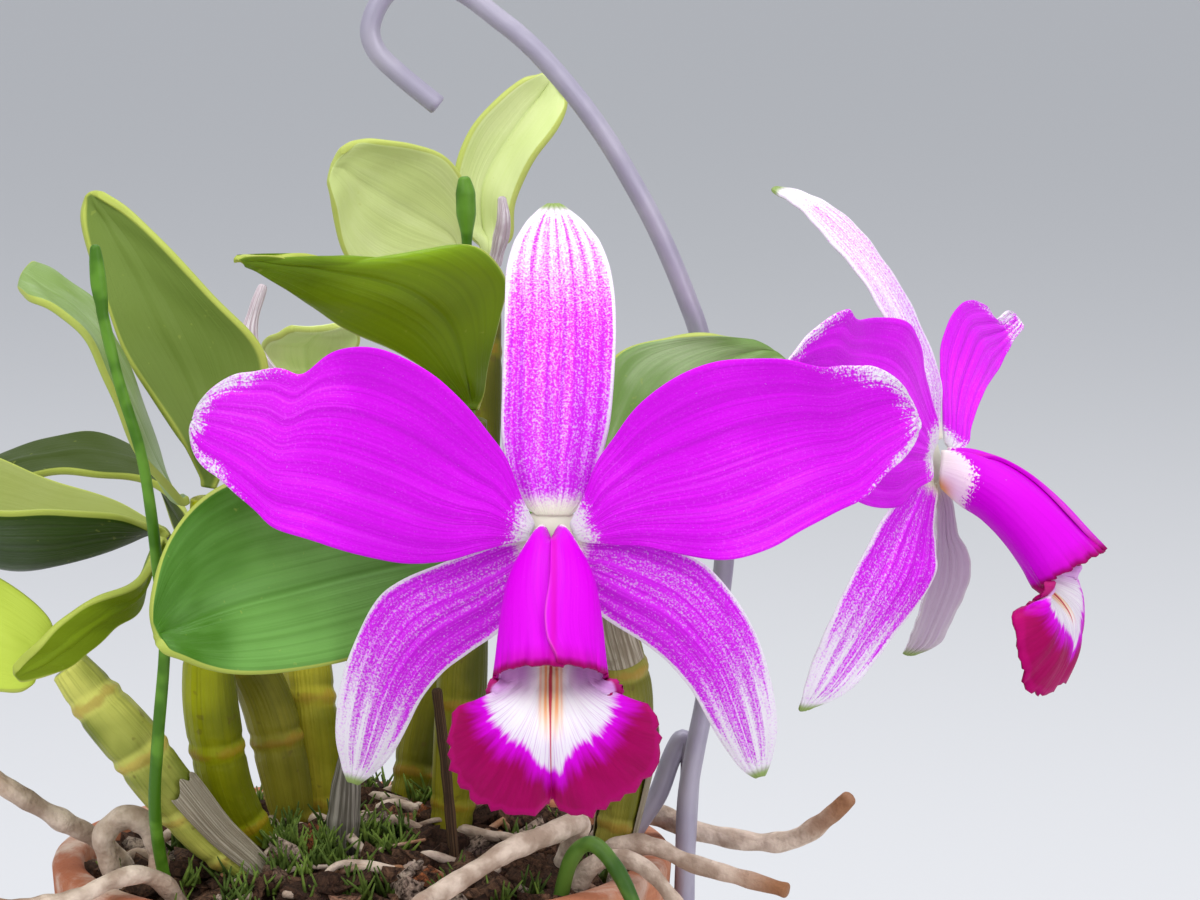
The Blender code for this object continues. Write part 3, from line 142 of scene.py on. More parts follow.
# outer edge of the lip's middle lobe, from the left waist round to the right one
LIP_EDGE = [
    (-14, -23.9, 16.8), (-15.2, -27.7, 17), (-15.2, -30.7, 17.6), (-14.1, -33.6, 18.2), (-12.2, -36.2, 18.6),
    (-9.5, -38.1, 18.9), (-6.5, -39, 19.1), (-3.2, -39, 19.2), (-0.9, -37.8, 19.3), (0.1, -36.6, 19.4),
    (1.3, -38.2, 19.3), (3.9, -39.3, 19.2), (6.7, -38.7, 19.1), (9.6, -36.7, 18.9), (12.7, -35.1, 18.6),
    (15, -32.9, 18.2), (16.3, -29.3, 17.6), (15.9, -26.2, 17), (14.7, -23.1, 16.8),
]
# lip tube: floor (u, f), roof (u, f) and half width at five stations
LIP_TUBE = [
    (-5.4, 1.0, 0.6, 1.0, 3.2),
    (-7.6, 4.0, 0.7, 6.8, 5.0),
    (-9.8, 8.2, -1.6, 13.4, 6.8),
    (-13.8, 12.6, -6.4, 20.2, 7.8),
    (-19.9, 17.2, -13.4, 27.5, 8.3),
]
# column inside the tube: u, f, radius
COLUMN = [(-2.3, 1.8, 1.5), (-3.1, 4.5, 1.8), (-5.2, 9.0, 2.2), (-7.8, 12.8, 2.6), (-8.7, 14.0, 1.6)]
# second bloom, seen from its side: sepals and petals in world millimetres
BLOOM_2_ROWS = {
    "dorsal_sepal": [
        (94.9, -12.4, 166.9, 95.8, -10.6, 167.2, 96.7, -8.6, 167.1),
        (93.8, -15, 170.4, 95.1, -11, 170.4, 96.6, -6.5, 170.1),
        (91.4, -18, 177.4, 94.4, -10.5, 177.2, 97, -3, 176.4),
        (88.6, -17.5, 184.8, 91.6, -9.5, 184.5, 94, -1.5, 184.3),
        (85.3, -16.5, 190.9, 88.3, -8.5, 191, 90.9, -0.5, 191.2),
        (81.6, -14.5, 196.2, 84.4, -7, 196.7, 87, 0.5, 196.8), (77.7, -12, 200.8, 80.3, -5.5, 201.4, 83, 1, 201.6),
        (74.2, -9.5, 204.5, 76.4, -4, 204.9, 78.7, 1.5, 205.3), (71.1, -7, 206.8, 72.6, -3, 207.1, 74.3, 1, 207.3),
        (68.8, -3.5, 208.1, 68.7, -2.5, 208.3, 69.2, -1.5, 208.5),
    ],
    "petal_left": [
        (95.6, -14.2, 167, 95.1, -14.4, 165.9, 94.9, -14.2, 164.9),
        (95.2, -16, 170.6, 93.5, -17, 166.6, 94.5, -16, 162.6),
        (93.8, -18.5, 177.5, 90.9, -22, 168.1, 91.8, -19.5, 160.8),
        (92.1, -22, 184.4, 87.9, -27, 169.6, 89.4, -25, 158.5),
        (89.5, -27, 188.9, 84.3, -33, 172, 85.3, -31, 159.1),
        (84.9, -33, 190.2, 80.7, -38, 174.3, 81.4, -37, 160.9),
        (80.9, -39, 190.5, 77.7, -43, 176.3, 77.8, -43, 163.9),
        (78.9, -43, 192.7, 74.7, -47, 178.2, 74.8, -47, 166.8), (74.9, -48, 190.9, 71.8, -51, 180, 72.2, -51, 171),
        (71.1, -52, 187.7, 69.7, -54, 181.4, 70.2, -54, 175.7),
        (68.7, -54.5, 185.2, 68.2, -55, 182.8, 68.9, -55, 180),
    ],
    "petal_right": [
        (97.8, -7.6, 166.1, 98.3, -7.6, 165.3, 98.6, -7.8, 164.3),
        (97.8, -4.5, 169, 99.6, -5, 167.4, 101.3, -5.5, 166.3),
        (97.6, 0, 173.5, 100.1, -0.5, 170.7, 102.6, -1, 168.6), (97.8, 5, 178, 101.2, 5, 174, 104.5, 5, 172),
        (98.8, 12, 182.3, 103.3, 12, 177.6, 106.4, 12, 173.7),
        (101.1, 19, 185.8, 105.6, 19, 180.6, 108.8, 19, 175.2),
        (104.1, 24, 187, 108.2, 25, 180.8, 110.7, 25, 177.5), (107.2, 28, 186, 110, 29, 180.9, 112.1, 29, 178.9),
        (109.1, 31, 182.8, 111.3, 32, 181.1, 113.1, 32, 179.5), (111.5, 34, 184, 113, 35, 182, 114.4, 35, 180.4),
        (112.9, 36, 183.6, 113.9, 36.5, 182.5, 114.7, 36, 181.3),
    ],
    "sepal_left": [
        (94, -13.8, 162.5, 94.7, -12.9, 161.3, 95.5, -12, 160.2),
        (92, -17, 161.3, 93.7, -15.5, 159.9, 95.4, -13.5, 158.8),
        (89.4, -20.5, 159.3, 92.4, -18, 156.8, 95, -15, 154.7),
        (86.3, -24, 156.6, 90.8, -21, 153.1, 95.5, -17, 150.3),
        (82.5, -28, 150.5, 88.7, -25, 148, 95.2, -20, 146.5),
        (79.3, -31, 144.8, 85.7, -28, 143.3, 91.9, -23, 141.7),
        (76.5, -33, 139.6, 82.5, -30, 138.7, 88.4, -26, 137.8),
        (74.4, -34, 134.5, 79.5, -32, 134.3, 84.5, -29, 133.3),
        (73.1, -35, 130.2, 76.5, -34, 130.3, 80.4, -32, 129.4),
        (72.3, -35.5, 127, 72.8, -35, 126.6, 74.4, -34.5, 127),
    ],
    "sepal_right": [
        (96.6, -8.3, 161.8, 96.0, -9.1, 160.9, 95.5, -9.9, 160.0),
        (99, -4, 155.8, 97.7, -6, 155.4, 96.3, -8, 155.2), (100.5, 1, 150.1, 98.4, -2, 150.1, 96.3, -5, 150),
        (102.8, 6, 146.2, 99.5, 3, 145.7, 96, -1, 145.3), (103.6, 10, 141.7, 99.6, 7, 140.8, 95.5, 3, 140.2),
        (102.8, 14, 136.5, 98.6, 11, 136, 94.8, 8, 135.5), (101.1, 18, 131.6, 97.4, 15, 131.4, 94.2, 13, 131.1),
        (99.2, 21, 127.3, 96.2, 19, 127.5, 93.7, 18, 127.9), (95, 23, 124.8, 93.9, 23, 124.8, 93.2, 23, 125.2),
    ],
}

# Canes: x, y, z, radius from the leafy top down into the medium
CANES = {
    "cane_a": [
        (-44.9, -34, 133.6, 3.3), (-40.2, -34, 127.5, 4.3), (-34.8, -33, 120.7, 4.7), (-30.2, -31, 113.7, 4.5),
        (-23.4, -27, 104.4, 4), (-17.1, -25, 98.1, 3.3), (-15.3, -24, 94.5, 3),
    ],
    "cane_b": [
        (-23.1, -28, 160, 2.7), (-23.3, -27, 150, 3.1), (-23.6, -24, 134.6, 4), (-23.3, -22, 123.4, 4.6),
        (-21.2, -18, 109.9, 4.2), (-16, -14, 98.8, 3.4), (-13.6, -12, 92.3, 3),
    ],
    "cane_c": [
        (-11.6, 22, 168.1, 2.6), (-11, 10, 143.8, 3.2), (-9.1, 1, 124.7, 4.3), (-7.7, 2, 110.6, 4.1),
        (-6.7, 4, 94.5, 3.2), (-6.4, 5, 88.1, 2.9),
    ],
    "cane_g": [
        (-28.9, -18, 150.5, 2.6), (-23.3, -14, 139.1, 3.3), (-16.5, -8, 125.6, 4.3), (-13.2, -6, 112.4, 4.3),
        (-10.8, -4, 96.4, 3.3), (-9.8, -4, 90.3, 2.9),
    ],
    "cane_d": [
        (20.6, 24, 192.5, 2.6), (20.3, 20, 166.6, 3), (17.9, 16, 142.8, 3.4), (11.4, 12, 120.8, 4.2),
        (8.5, 10, 105.4, 3.9), (6.7, 8, 91.8, 3.1), (6.2, 8, 87.4, 2.9),
    ],
    "cane_e": [
        (19.2, -15, 171.1, 2.6), (18.5, -12, 147.5, 3.3), (17.2, -8, 124.8, 4.2), (15.9, -6, 109, 3.9),
        (14.6, -4, 95.5, 3.1), (14.2, -4, 90.3, 2.9),
    ],
    "cane_f": [
        (40, -25, 152, 2.7), (42.3, -20, 138.9, 3.5), (45, -14, 126, 4), (44.6, -9, 111.3, 3.8),
        (42.2, -6, 96.5, 3.1), (41, -5, 90.3, 2.9),
    ],
}
# Each leaf: the cane it stands on, the way it leaves the cane's top, how sharply
# it is folded along the midrib (1 is a straight V, 2 a soft channel), and how far
# from the middle of the cane's top it starts
LEAF_SEAT = {
    "leaf_1": ("cane_b", (0.15, 0.1, 1.0), 1.6, 1.9),
    "leaf_2": ("cane_b", (-1.0, -0.45, 0.15), 1.8, 3.33),
    "leaf_3": ("cane_f", (-1.0, -0.25, 0.0), 1.5, 3.15),
    "leaf_4": ("cane_g", (-0.9, -0.9, 0.1), 2.0, 2.6),
    "leaf_5": ("cane_a", (-1.0, 0.3, 0.3), 2.0, 2.8),
    "leaf_6": ("cane_g", (-0.75, 0.25, 0.65), 1.1, 2.25),
    "leaf_8": ("cane_g", (0.1, 0.95, 0.6), 1.6, 3.5),
    "leaf_9": ("cane_e", (0.0, 0.0, 1.0), 2.0, 1.73),
    "leaf_10": ("cane_d", (-1.0, -0.1, 0.5), 2.0, 2.57),
    "leaf_11": ("cane_d", (0.15, 0.1, 1.0), 1.6, 1.73),
    "leaf_12": ("cane_c", (0.0, 0.2, 1.0), 2.0, 1.99),
    "leaf_13": ("cane_f", (0.2, 0.5, 0.9), 1.8, 2.56),
}
# Rows of each leaf from its base to its tip: left edge, midrib, right edge
LEAF_ROWS = {
    "leaf_1": [
        (-27.2, -29, 169.9, -21.8, -28, 169.7, -16.1, -31, 171.8),
        (-32.1, -27, 176.9, -25.1, -25, 179.1, -12.9, -30, 178.4),
        (-36.8, -25, 184, -29.8, -23, 188.3, -13.8, -29, 185.1),
        (-39.8, -23, 191.9, -34.1, -21, 196.5, -21.5, -27, 192.6),
        (-42.5, -21, 199.8, -38.1, -19, 202.7, -29.7, -24, 200.9),
        (-43.6, -19, 205.3, -40.6, -18, 206.5, -36.2, -21, 206.3),
        (-43.2, -18, 208.3, -42.2, -18, 209.1, -40.8, -19, 208.9),
    ],
    "leaf_2": [
        (-31.1, -26, 167.8, -31.9, -32, 168.7, -32.7, -38, 168.4),
        (-34.5, -27, 177.7, -35.1, -36, 178.5, -35.5, -45, 179.1),
        (-37.9, -29, 186.1, -38.4, -39, 187.2, -38.9, -47, 187.2),
        (-39.8, -32, 192.5, -42, -40, 191.7, -43.7, -48, 192.3),
        (-45.5, -33, 196.7, -46.9, -41, 195.3, -47.7, -48, 194.6),
        (-49.9, -35, 199.2, -51, -39, 197.5, -50.8, -43, 195.5),
    ],
    "leaf_3": [
        (27.5, -33, 159.9, 27.5, -36, 153.9, 27.6, -38, 147.8),
        (14.8, -35, 164.6, 14.9, -40, 152.7, 15.1, -46, 142.3), (2.2, -38, 167, 2.4, -44, 150.8, 2.7, -51, 138.5),
        (-8.5, -43, 167.5, -7.9, -49, 148.9, -7.9, -56, 137.2),
        (-16.8, -47, 166.4, -15.5, -53, 147.6, -15.3, -60, 137.5),
        (-22.8, -51, 163, -20.8, -56, 146.2, -20.5, -62, 139),
        (-27.1, -55, 157, -24.7, -59, 144.9, -24.1, -64, 141.1),
        (-29, -59, 149.9, -27.1, -61, 144.1, -26.2, -64, 142.2),
        (-28.8, -61, 145.7, -28.1, -62, 144, -27.6, -63, 143.4),
    ],
    "leaf_4": [
        (-33.4, -34, 148.1, -34.2, -32, 145.3, -34.1, -29, 142.3),
        (-38.8, -43, 146.7, -38.3, -41, 143.6, -37.8, -39, 140.7),
        (-43.9, -47, 144.1, -42.6, -45, 140.8, -40.8, -43, 137.9),
        (-47.9, -49, 140.6, -46.7, -47, 138, -44.8, -45, 135.2),
        (-51.9, -48, 136, -52.2, -47, 135, -51.3, -46, 133.8),
    ],
    "leaf_5": [
        (-48.7, -31, 141.3, -50.4, -35, 135.9, -51.2, -38, 130.9),
        (-56.6, -29, 147.5, -56.9, -34, 139, -55.7, -38, 130.3),
        (-66.7, -26, 149.5, -66.3, -30, 141.2, -64.2, -34, 131.6),
        (-77.2, -22, 148.3, -77, -24, 142.1, -74.8, -28, 135.4),
        (-85.8, -18, 143.2, -86.4, -19, 141.7, -85.6, -20, 140.2),
    ],
    "leaf_6": [
        (-39.7, -6, 156.1, -38.6, -16, 150.5, -37.4, -26, 156.9),
        (-50.2, -2, 159.2, -48.6, -16, 147.1, -46.6, -30, 158.3),
        (-60.4, 0, 162.8, -58.5, -16, 146.5, -55.9, -32, 159.1),
        (-72.4, 2, 165.9, -69.9, -16, 150.7, -67.1, -32, 160.6),
        (-82.2, 0, 166.2, -79.6, -16, 156.8, -77.4, -28, 161.9),
        (-86.5, -10, 162.2, -85.6, -15, 161.3, -84.7, -20, 161.1),
    ],
    "leaf_8": [
        (-35.6, 6, 161.1, -35.1, 1, 160, -34.2, -4, 159), (-45.3, 14, 164.6, -44.4, 6, 162.3, -43.6, -1, 160.3),
        (-54.2, 17, 163.7, -53.2, 9, 161.5, -52.3, 2, 159.8), (-63.2, 19, 160.6, -62.2, 12, 159, -61.3, 5, 157),
        (-70.6, 16, 155.3, -70.5, 14, 154.6, -70, 12, 153.7),
    ],
    "leaf_9": [
        (14.2, -18, 178.6, 18.5, -19, 179.2, 21.9, -18, 180.7),
        (7.1, -22, 183.6, 16.1, -24, 187.9, 24.1, -20, 189.6),
        (-0.6, -28, 187.6, 10.8, -31, 193.8, 25.1, -22, 195.5), (-5, -34, 191.9, 3.2, -37, 197.1, 20.1, -27, 201.1),
        (-8.4, -40, 195.1, -3.6, -42, 198.9, 10.1, -33, 199),
        (-11.9, -46, 198.2, -9.4, -47, 200.2, -0.5, -40, 200.3),
        (-14.2, -50, 200, -13.2, -50, 200.9, -8.3, -46, 201.3),
        (-15.6, -53, 201, -15.7, -53, 201.5, -14.6, -52, 201.9),
    ],
    "leaf_10": [
        (11.1, 20, 191.2, 14.5, 22, 198.4, 18.4, 19, 204.3), (4.4, 18, 190.2, 8.6, 20, 202, 14.8, 16, 211.7),
        (0.2, 16, 191.3, 3.6, 18, 205.1, 9, 14, 214.3), (-3.1, 14, 195.7, -0.5, 16, 208, 4, 12, 215.2),
        (-4.6, 13, 202.6, -3.3, 14, 210.5, 0.1, 12, 215.4), (-5.9, 13, 208.2, -5.2, 13, 211.1, -3.5, 12, 213.5),
    ],
    "leaf_11": [
        (16.5, 26, 199.8, 19.9, 28, 199.6, 25.1, 24, 197.9), (15.3, 26, 207.9, 19.9, 29, 206.2, 25.5, 24, 203.8),
        (17.9, 28, 216.1, 23, 31, 212.4, 28.6, 26, 210.7), (22.7, 30, 221.5, 27.1, 33, 218.2, 32.7, 28, 216.1),
        (26.8, 32, 224.5, 30.4, 34, 222.3, 34.6, 31, 220.1), (30.1, 34, 225.6, 32.1, 34, 224.7, 33.7, 33, 223.1),
    ],
    "leaf_12": [
        (-16, 27, 173.4, -11.1, 31, 173.6, -5.4, 29, 174.4), (-18.1, 23, 178.4, -11.1, 29, 178.4, -1.5, 29, 179.1),
        (-16.1, 20, 181.2, -9.6, 26, 180.5, -2.4, 27, 182), (-12.5, 18, 182.8, -8.3, 22, 182.2, -4.7, 25, 182.7),
    ],
    "leaf_13": [
        (38.2, -22, 162.7, 42.9, -22, 161.7, 48.4, -24, 159.4),
        (38.7, -17, 174, 48.5, -17, 169.5, 57.5, -19, 165.5),
        (42.8, -13, 181.9, 54.3, -12, 176.5, 64.1, -15, 170.4), (51, -10, 184.2, 60.8, -9, 180.3, 68, -12, 174.5),
        (58.5, -9, 184.8, 66.1, -8, 181.8, 70.7, -10, 177.6), (66, -7, 183.4, 69.6, -7, 181.4, 71.9, -8, 179),
    ],
}
# Round parts: x, y, z, radius along each
ROUND_PARTS = {
    "hanger": [
        (13.3, 0, 222), (7.2, 0, 227), (3.2, 0, 231.1), (2.4, 0, 235.4), (5.2, 0, 240.6), (10.8, 0, 243.4),
        (17.6, 0, 240.6), (23.8, 0, 236.0), (27.1, 0, 233.4), (31.2, 0, 229.4), (36.8, 0, 222.8), (41.5, 0, 216.2),
        (45.5, 0, 209.5), (49.1, 0, 202.9), (52.2, 0, 196.2), (54.9, 0, 189.5), (56.9, 0, 183.9), (59.8, 0, 172.6),
        (61.1, 0, 160.8), (61.4, 0, 148.9), (60.7, 0, 140.3), (59.4, 0, 130.9), (58.1, 0, 121.4),
        (56.6, -1.6, 114.2), (55.2, -2.4, 106), (54.8, -2.6, 98), (54.7, -2.6, 84), (54.7, -2.6, 73),
        (54.7, -1.9, 69.4), (54.7, 0, 67.6), (54.7, 1.9, 69.4), (54.7, 2.6, 73), (54.7, 2.7, 88), (55.4, 3, 103),
        (55.7, 3.3, 110.5), (54.4, 3.4, 114), (52.4, 3.3, 110.5), (50.2, 2.9, 104.5), (47, 2.6, 99.6),
        (44.8, 2.6, 95), (43.8, 2.6, 84),
    ],
    "root_back_right": [
        (38, 8, 90), (41, 8, 96.5), (45, 8.5, 99.4), (50.5, 9, 99.4), (56, 8.5, 97), (67.5, 6, 95.4),
        (74.1, 3, 96.9), (79.4, 0, 101.4), (82.6, -2, 105),
    ],
    "root_right": [
        (37, -11, 90), (40, -12, 96), (44.5, -13, 99.4), (50, -14, 99.2), (55, -15, 97), (63.6, -17, 94.9),
        (71.2, -20, 93.4),
    ],
    "root_low_right": [
        (35, -20, 90), (38, -21.5, 97), (42, -23, 99.6), (46.5, -25, 99.2), (50, -26.5, 96.5), (54, -28, 91.5),
        (57, -29, 87.5),
    ],
    "root_front": [
        (31, -15, 90), (35, -18.5, 99), (37, -23.5, 105.6), (32.2, -30, 105.3), (25.8, -36, 104.1),
        (19.5, -42, 101.6), (14.9, -47, 99.8), (11.5, -52, 99), (9, -56, 95.5), (8, -57.5, 90),
    ],
    "root_left": [
        (-37.5, -9, 90), (-40, -10.5, 96), (-44, -12, 100.4), (-49.5, -14, 104), (-58, -18, 110.5),
        (-66, -20, 116.5),
    ],
    "root_low_left": [
        (-27, -31, 90), (-29.5, -32.5, 96.5), (-33.5, -34.5, 99.6), (-38.5, -37, 99.2), (-44, -39, 97),
        (-53, -41, 95.8), (-61, -42, 97),
    ],
    "root_arch": [
        (-38.5, -20, 90), (-41, -20.5, 99), (-41.5, -21, 103), (-38, -21, 106), (-34.5, -21, 104.5),
        (-32.6, -20.5, 99), (-32, -20, 90),
    ],
    "green_stem": [
        (33, -28, 90), (35.5, -31, 101), (39, -33.5, 104.5), (43, -36.5, 101), (46.5, -39, 94), (49, -41, 86),
    ],
    "dry_stump": [
        (-1.2, -20, 116.5), (-1.6, -19, 111), (-2.2, -18, 104), (-2.9, -16, 95), (-3, -16, 90),
    ],
    "stake": [
        (13.5, -20, 127.2), (15.1, -20, 112.1), (16.7, -20, 92),
    ],
    "seed_stalk_1": [
        (-37.8, -50, 203), (-37.6, -50, 200.5), (-37.3, -50, 197), (-36.9, -50, 194), (-36.6, -50, 191.6),
        (-34.3, -50, 181.4), (-31.3, -50, 171.2), (-29.9, -49, 161.6), (-29.1, -47, 151), (-28.4, -45, 140.2),
        (-30.1, -42, 123.5), (-31.3, -37, 110.9), (-31, -29, 99.1), (-29.5, -26, 91),
    ],
    "seed_stalk_2": [
        (17.8, -2, 210), (18, -2, 207.5), (18.1, -2, 204), (18.2, -2, 200.5), (18.2, -2, 196), (18.6, -2, 169.5),
        (16.7, 0, 145.5), (14.3, 2, 121), (12.2, 3, 103.5), (11, 2.5, 91),
    ],
    "bract_1": [
        (-12.0, 19.0, 169.8), (-14, 16.6, 173.0), (-17.6, 16, 177.2), (-19.6, 16, 181.3), (-18.9, 17, 185.7),
        (-17.4, 18, 190),
    ],
    "bract_2": [
        (22.2, 21.1, 193.6), (23.8, 17, 200.6), (23.6, 17, 205.2),
    ],
    "peduncle": [
        (40, -27.5, 153.3), (39.6, -31, 157), (39.5, -33, 160.5),
    ],
}
# radius at the start, the middle and the end of each
ROUND_SIZE = {
    "root_back_right": (1.9, 1.8, 1.5), "root_right": (1.9, 1.7, 1.3),
    "root_low_right": (1.6, 1.5, 1.1), "root_front": (1.9, 1.8, 1.4),
    "root_left": (1.9, 1.8, 1.6), "root_low_left": (1.7, 1.6, 1.4),
    "root_arch": (1.8, 1.9, 1.7), "green_stem": (1.3, 1.4, 1.1),
    "dry_stump": (1.3, 3.0, 3.2), "stake": (0.9, 0.9, 0.9),
    "seed_stalk_1": (1.0, 0.9, 1.1), "seed_stalk_2": (0.9, 0.8, 1.0),
    "bract_1": (1.2, 1.6, 0.9), "bract_2": (1.3, 1.4, 0.8), "peduncle": (1.5, 1.6, 1.6),
}

# stalk behind each bloom, x, y, z, radius, and the hub that sepals and petals stand round
HUB = [((0, -0.6, -1.2), 4.4), ((0, -1.0, -3.2), 3.0), ((0, -1.0, -6.0), 1.8)]
PEDICELS = {
    "flower_1": [(34, -52, 162, 1.6), (37, -43, 163, 1.5), (39.2, -35, 161.6, 1.5)],
    "flower_2": [(82, -17, 164, 1.6), (68, -25, 160.5, 1.5), (53, -31, 159.2, 1.5), (42.2, -33.15, 160.15, 1.5)],
}
# frilled wings beside the mouth of the lip's tube, in the lobe's outline
WING_LEFT = [(-8.2, -17.9, 20.6), (-9.3, -18.6, 20.0), (-9.6, -20.0, 19.2), (-9.3, -21.4, 18.2), (-10.4, -22.4, 17.3)]
WING_RIGHT = [(11.2, -22.6, 17.3), (10.0, -21.6, 18.2), (10.4, -20.0, 19.2), (10.2, -18.5, 20.0), (9.0, -17.8, 20.6)]
# radii of the pods at the tops of the thin stalks
SWOLLEN = {"seed_stalk_1": {0: 0.8, 1: 1.2, 2: 1.3, 3: 1.0}, "seed_stalk_2": {0: 1.0, 1: 1.7, 2: 1.6, 3: 1.0}}
# dry husks on the canes: where each starts and ends along the cane from its top, the side
# it covers and how much of a turn
SHEATHS = {
    "cane_a": [(0.5, 0.98, 2.4, 0.22)],
    "cane_b": [(0.8, 0.99, 0.3, 0.8)],
    "cane_c": [(0.8, 0.98, 0.2, 0.85)],
    "cane_d": [(0.82, 0.99, 0.0, 0.9)],
    "cane_e": [(0.72, 0.98, -0.4, 0.8)],
    "cane_f": [(0.5, 0.98, 0.4, 0.6), (0.1, 0.3, -2.6, 0.5)],
    "cane_g": [(0.76, 0.98, 0.5, 0.8)],
}
# pot outline: radius and height from the middle of its floor round the wall and back
POT_PROFILE = [
    (0, 2.6), (6.4, 2.6), (7, 2.2), (7, 0.6), (7.6, 0), (20, 0), (32.6, 0), (33.6, 0.35), (34.1, 1.2), (36, 11.4),
    (38.8, 27), (42, 45), (45, 62.2), (46.9, 73), (47.3, 73.8), (48.4, 74.1), (50, 74.1), (50.7, 74.5), (51, 75.3),
    (51.5, 82), (52.1, 89), (52.5, 94.4), (52.1, 95.5), (51.2, 96), (48.6, 96), (47.7, 95.6), (47.2, 94.8),
    (46.4, 86), (45.6, 76), (44.6, 74.4), (41.9, 70.4), (38, 49), (33, 22), (29.9, 10), (28.8, 7.8), (27.2, 7),
    (14, 7), (0, 7),
]

# How each leaf looks: its base green, the lighter blotches, the underside, the pale rim's
# width in mm and which side of the sheet is its upper face. The greens hold painted light and shade:
# each leaf is set lighter or darker by how it stood in the light, and the blotches are partly its own mottling and
# partly a painted sheen
LEAF_LOOKS = {
    "leaf_1": ("46660E", "708830", "6C8234", 0.9, -1),
    "leaf_2": ("76904A", "A0B28C", "98AC7C", 0.4, -1),
    "leaf_3": ("3A6A0C", "6A9E48", "5E7F3C", 0.45, -1),
    "leaf_4": ("5E7400", "7E9606", "748A00", 0.5, 1),
    "leaf_5": ("B0CA3A", "DEEE6C", "BACC48", 0.5, 1),
    "leaf_6": ("1A2C04", "34500C", "8C9648", 0.45, 1),
    "leaf_8": ("2E3C00", "4C5A04", "344402", 0.5, 1),
    "leaf_9": ("5E7C00", "789804", "6C8A00", 0.4, 1),
    "leaf_10": ("CEDC8C", "DEE8A8", "D6E29A", 0.35, 1),
    "leaf_11": ("C8D68C", "D8E0A4", "CCD896", 0.35, 1),
    "leaf_12": ("D0E496", "E4F0AC", "DCEAA0", 0.4, 1),
    "leaf_13": ("6C9242", "B8D09C", "7C9C56", 0.4, 1),
}
# Skin of each cane: shaded side, lit side
CANE_LOOKS = {
    "cane_a": ("56660C", "E2E070"), "cane_b": ("5E6400", "A8AC10"), "cane_c": ("7A7C0C", "D8CC40"),
    "cane_d": ("4C4E08", "8A8418"), "cane_e": ("52560C", "9A9426"), "cane_f": ("6A6A1C", "B8B050"),
    "cane_g": ("5C5C0C", "A49C30"),
}


def srgb(code):
    """Linear red, green and blue of a hex colour."""
    parts = [int(code[i:i + 2], 16) / 255 for i in (0, 2, 4)]
    return [c / 12.92 if c <= 0.04045 else ((c + 0.055) / 1.055) ** 2.4 for c in parts]


def rgba(code):
    """A colour, as hex or linear red, green and blue, with its alpha."""
    return (*srgb(code), 1.0) if isinstance(code, str) else (*code, 1.0)


# ---------------------------------------------------------------- settings

def tint(name, text, code):
    """A colour that a user can change."""
    return FloatVectorProperty(name=name, description=text, subtype="COLOR", size=3, min=0, max=1,
                               default=srgb(code))


def length(name, text, mm):
    """A size that a user can change."""
    return FloatProperty(name=name, description=text, unit="LENGTH", default=mm * MM, min=0)


class BloomSettings(bpy.types.PropertyGroup):
    petal: tint("Petal", "Colour of the two broad petals", "DE04EE")
    vein: tint("Vein", "Darker colour along the petals' veins", "BC00CE")
    pale: tint("Margin", "Pale colour of margins, tips and speckles", "E6DFE8")
    tube: tint("Lip tube", "Colour of the rolled part of the lip", "CA00D0")
    lobe: tint("Lip lobe", "Dark colour of the lip's front lobe", "96004F")
    tissue: length("Petal thickness", "Thickness of sepals and petals", 0.6)


class LeafSettings(bpy.types.PropertyGroup):
    rim: tint("Leaf rim", "Thin yellowish edge of each leaf", "AEB850")
    blade: length("Blade thickness", "Thickness of a leaf", 1.4)
    groove: length("Midrib groove", "Depth of the groove along the middle of a leaf", 0.5)


class GroundSettings(bpy.types.PropertyGroup):
    clay: tint("Clay", "Colour of the fired clay", "C0805F")
    bark: tint("Bark", "Colour of the dry bark", "7A5A45")
    chips: IntProperty(name="Bark chips", description="Chips on the potting medium", default=520, min=50)
    wire: tint("Wire", "Colour of the dull zinc coat", "ADA7B6")
    wire_radius: length("Wire radius", "Half the thickness of the hanger's wire", 1.7)


# ---------------------------------------------------------------- shapes

def smooth(rows, at):
    """Points at 0..1 along a smooth curve through rows of numbers."""
    rows = np.asarray(rows, float)
    n = len(rows)
    flat = rows.reshape(n, -1)
    p = np.vstack([2 * flat[0] - flat[1], flat, 2 * flat[-1] - flat[-2]])
    x = np.clip(np.asarray(at, float), 0, 1) * (n - 1)
    i = np.minimum(x.astype(int), n - 2)
    f = (x - i)[:, None]
    a, b, c, d = p[i], p[i + 1], p[i + 2], p[i + 3]
    out = 0.5 * (2 * b + (c - a) * f + (2 * a - 5 * b + 4 * c - d) * f * f + (3 * b - a - 3 * c + d) * f ** 3)
    return out.reshape((len(x),) + rows.shape[1:])


def ease(x, low, high):
    """Smooth step of x from 0 at low to 1 at high."""
    x = np.clip((x - low) / (high - low), 0, 1)
    return x * x * (3 - 2 * x)


def new_piece(name, bm, materials, slot, *nodes):
    """Turn a closed bmesh's faces outwards and make an object of it."""
    bmesh.ops.recalc_face_normals(bm, faces=bm.faces)
    return finish_piece(name, bm, materials, slot, *nodes)


def finish_piece(name, bm, materials, slot, *nodes):
    """Make an object of a bmesh as it is, and let it stand for CAD nodes."""
    mesh = bpy.data.meshes.new(name)
    for face in bm.faces:
        face.smooth = True
    bm.to_mesh(mesh)
    bm.free()
    obj = bpy.data.objects.new(name, mesh)
    bpy.context.scene.collection.objects.link(obj)
    for m in materials:
        mesh.materials.append(m)
    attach(obj, "root")
    if nodes:
        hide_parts(*nodes)
    return obj


def flat_grid(cols, rows):
    """A plane of cols by rows quads, with UVs, and its points as across -1..1 and along 0..1."""
    bm = bmesh.new()
    bm.loops.layers.uv.new("UVMap")
    bmesh.ops.create_grid(bm, x_segments=cols, y_segments=rows, size=1.0, calc_uvs=True)
    at = np.array([v.co[:2] for v in bm.verts])
    return bm, at[:, 0], (at[:, 1] + 1) / 2


def put(bm, points):
    """Move the vertices to points in millimetres."""
    for v, p in zip(bm.verts, points * MM):
        v.co = p


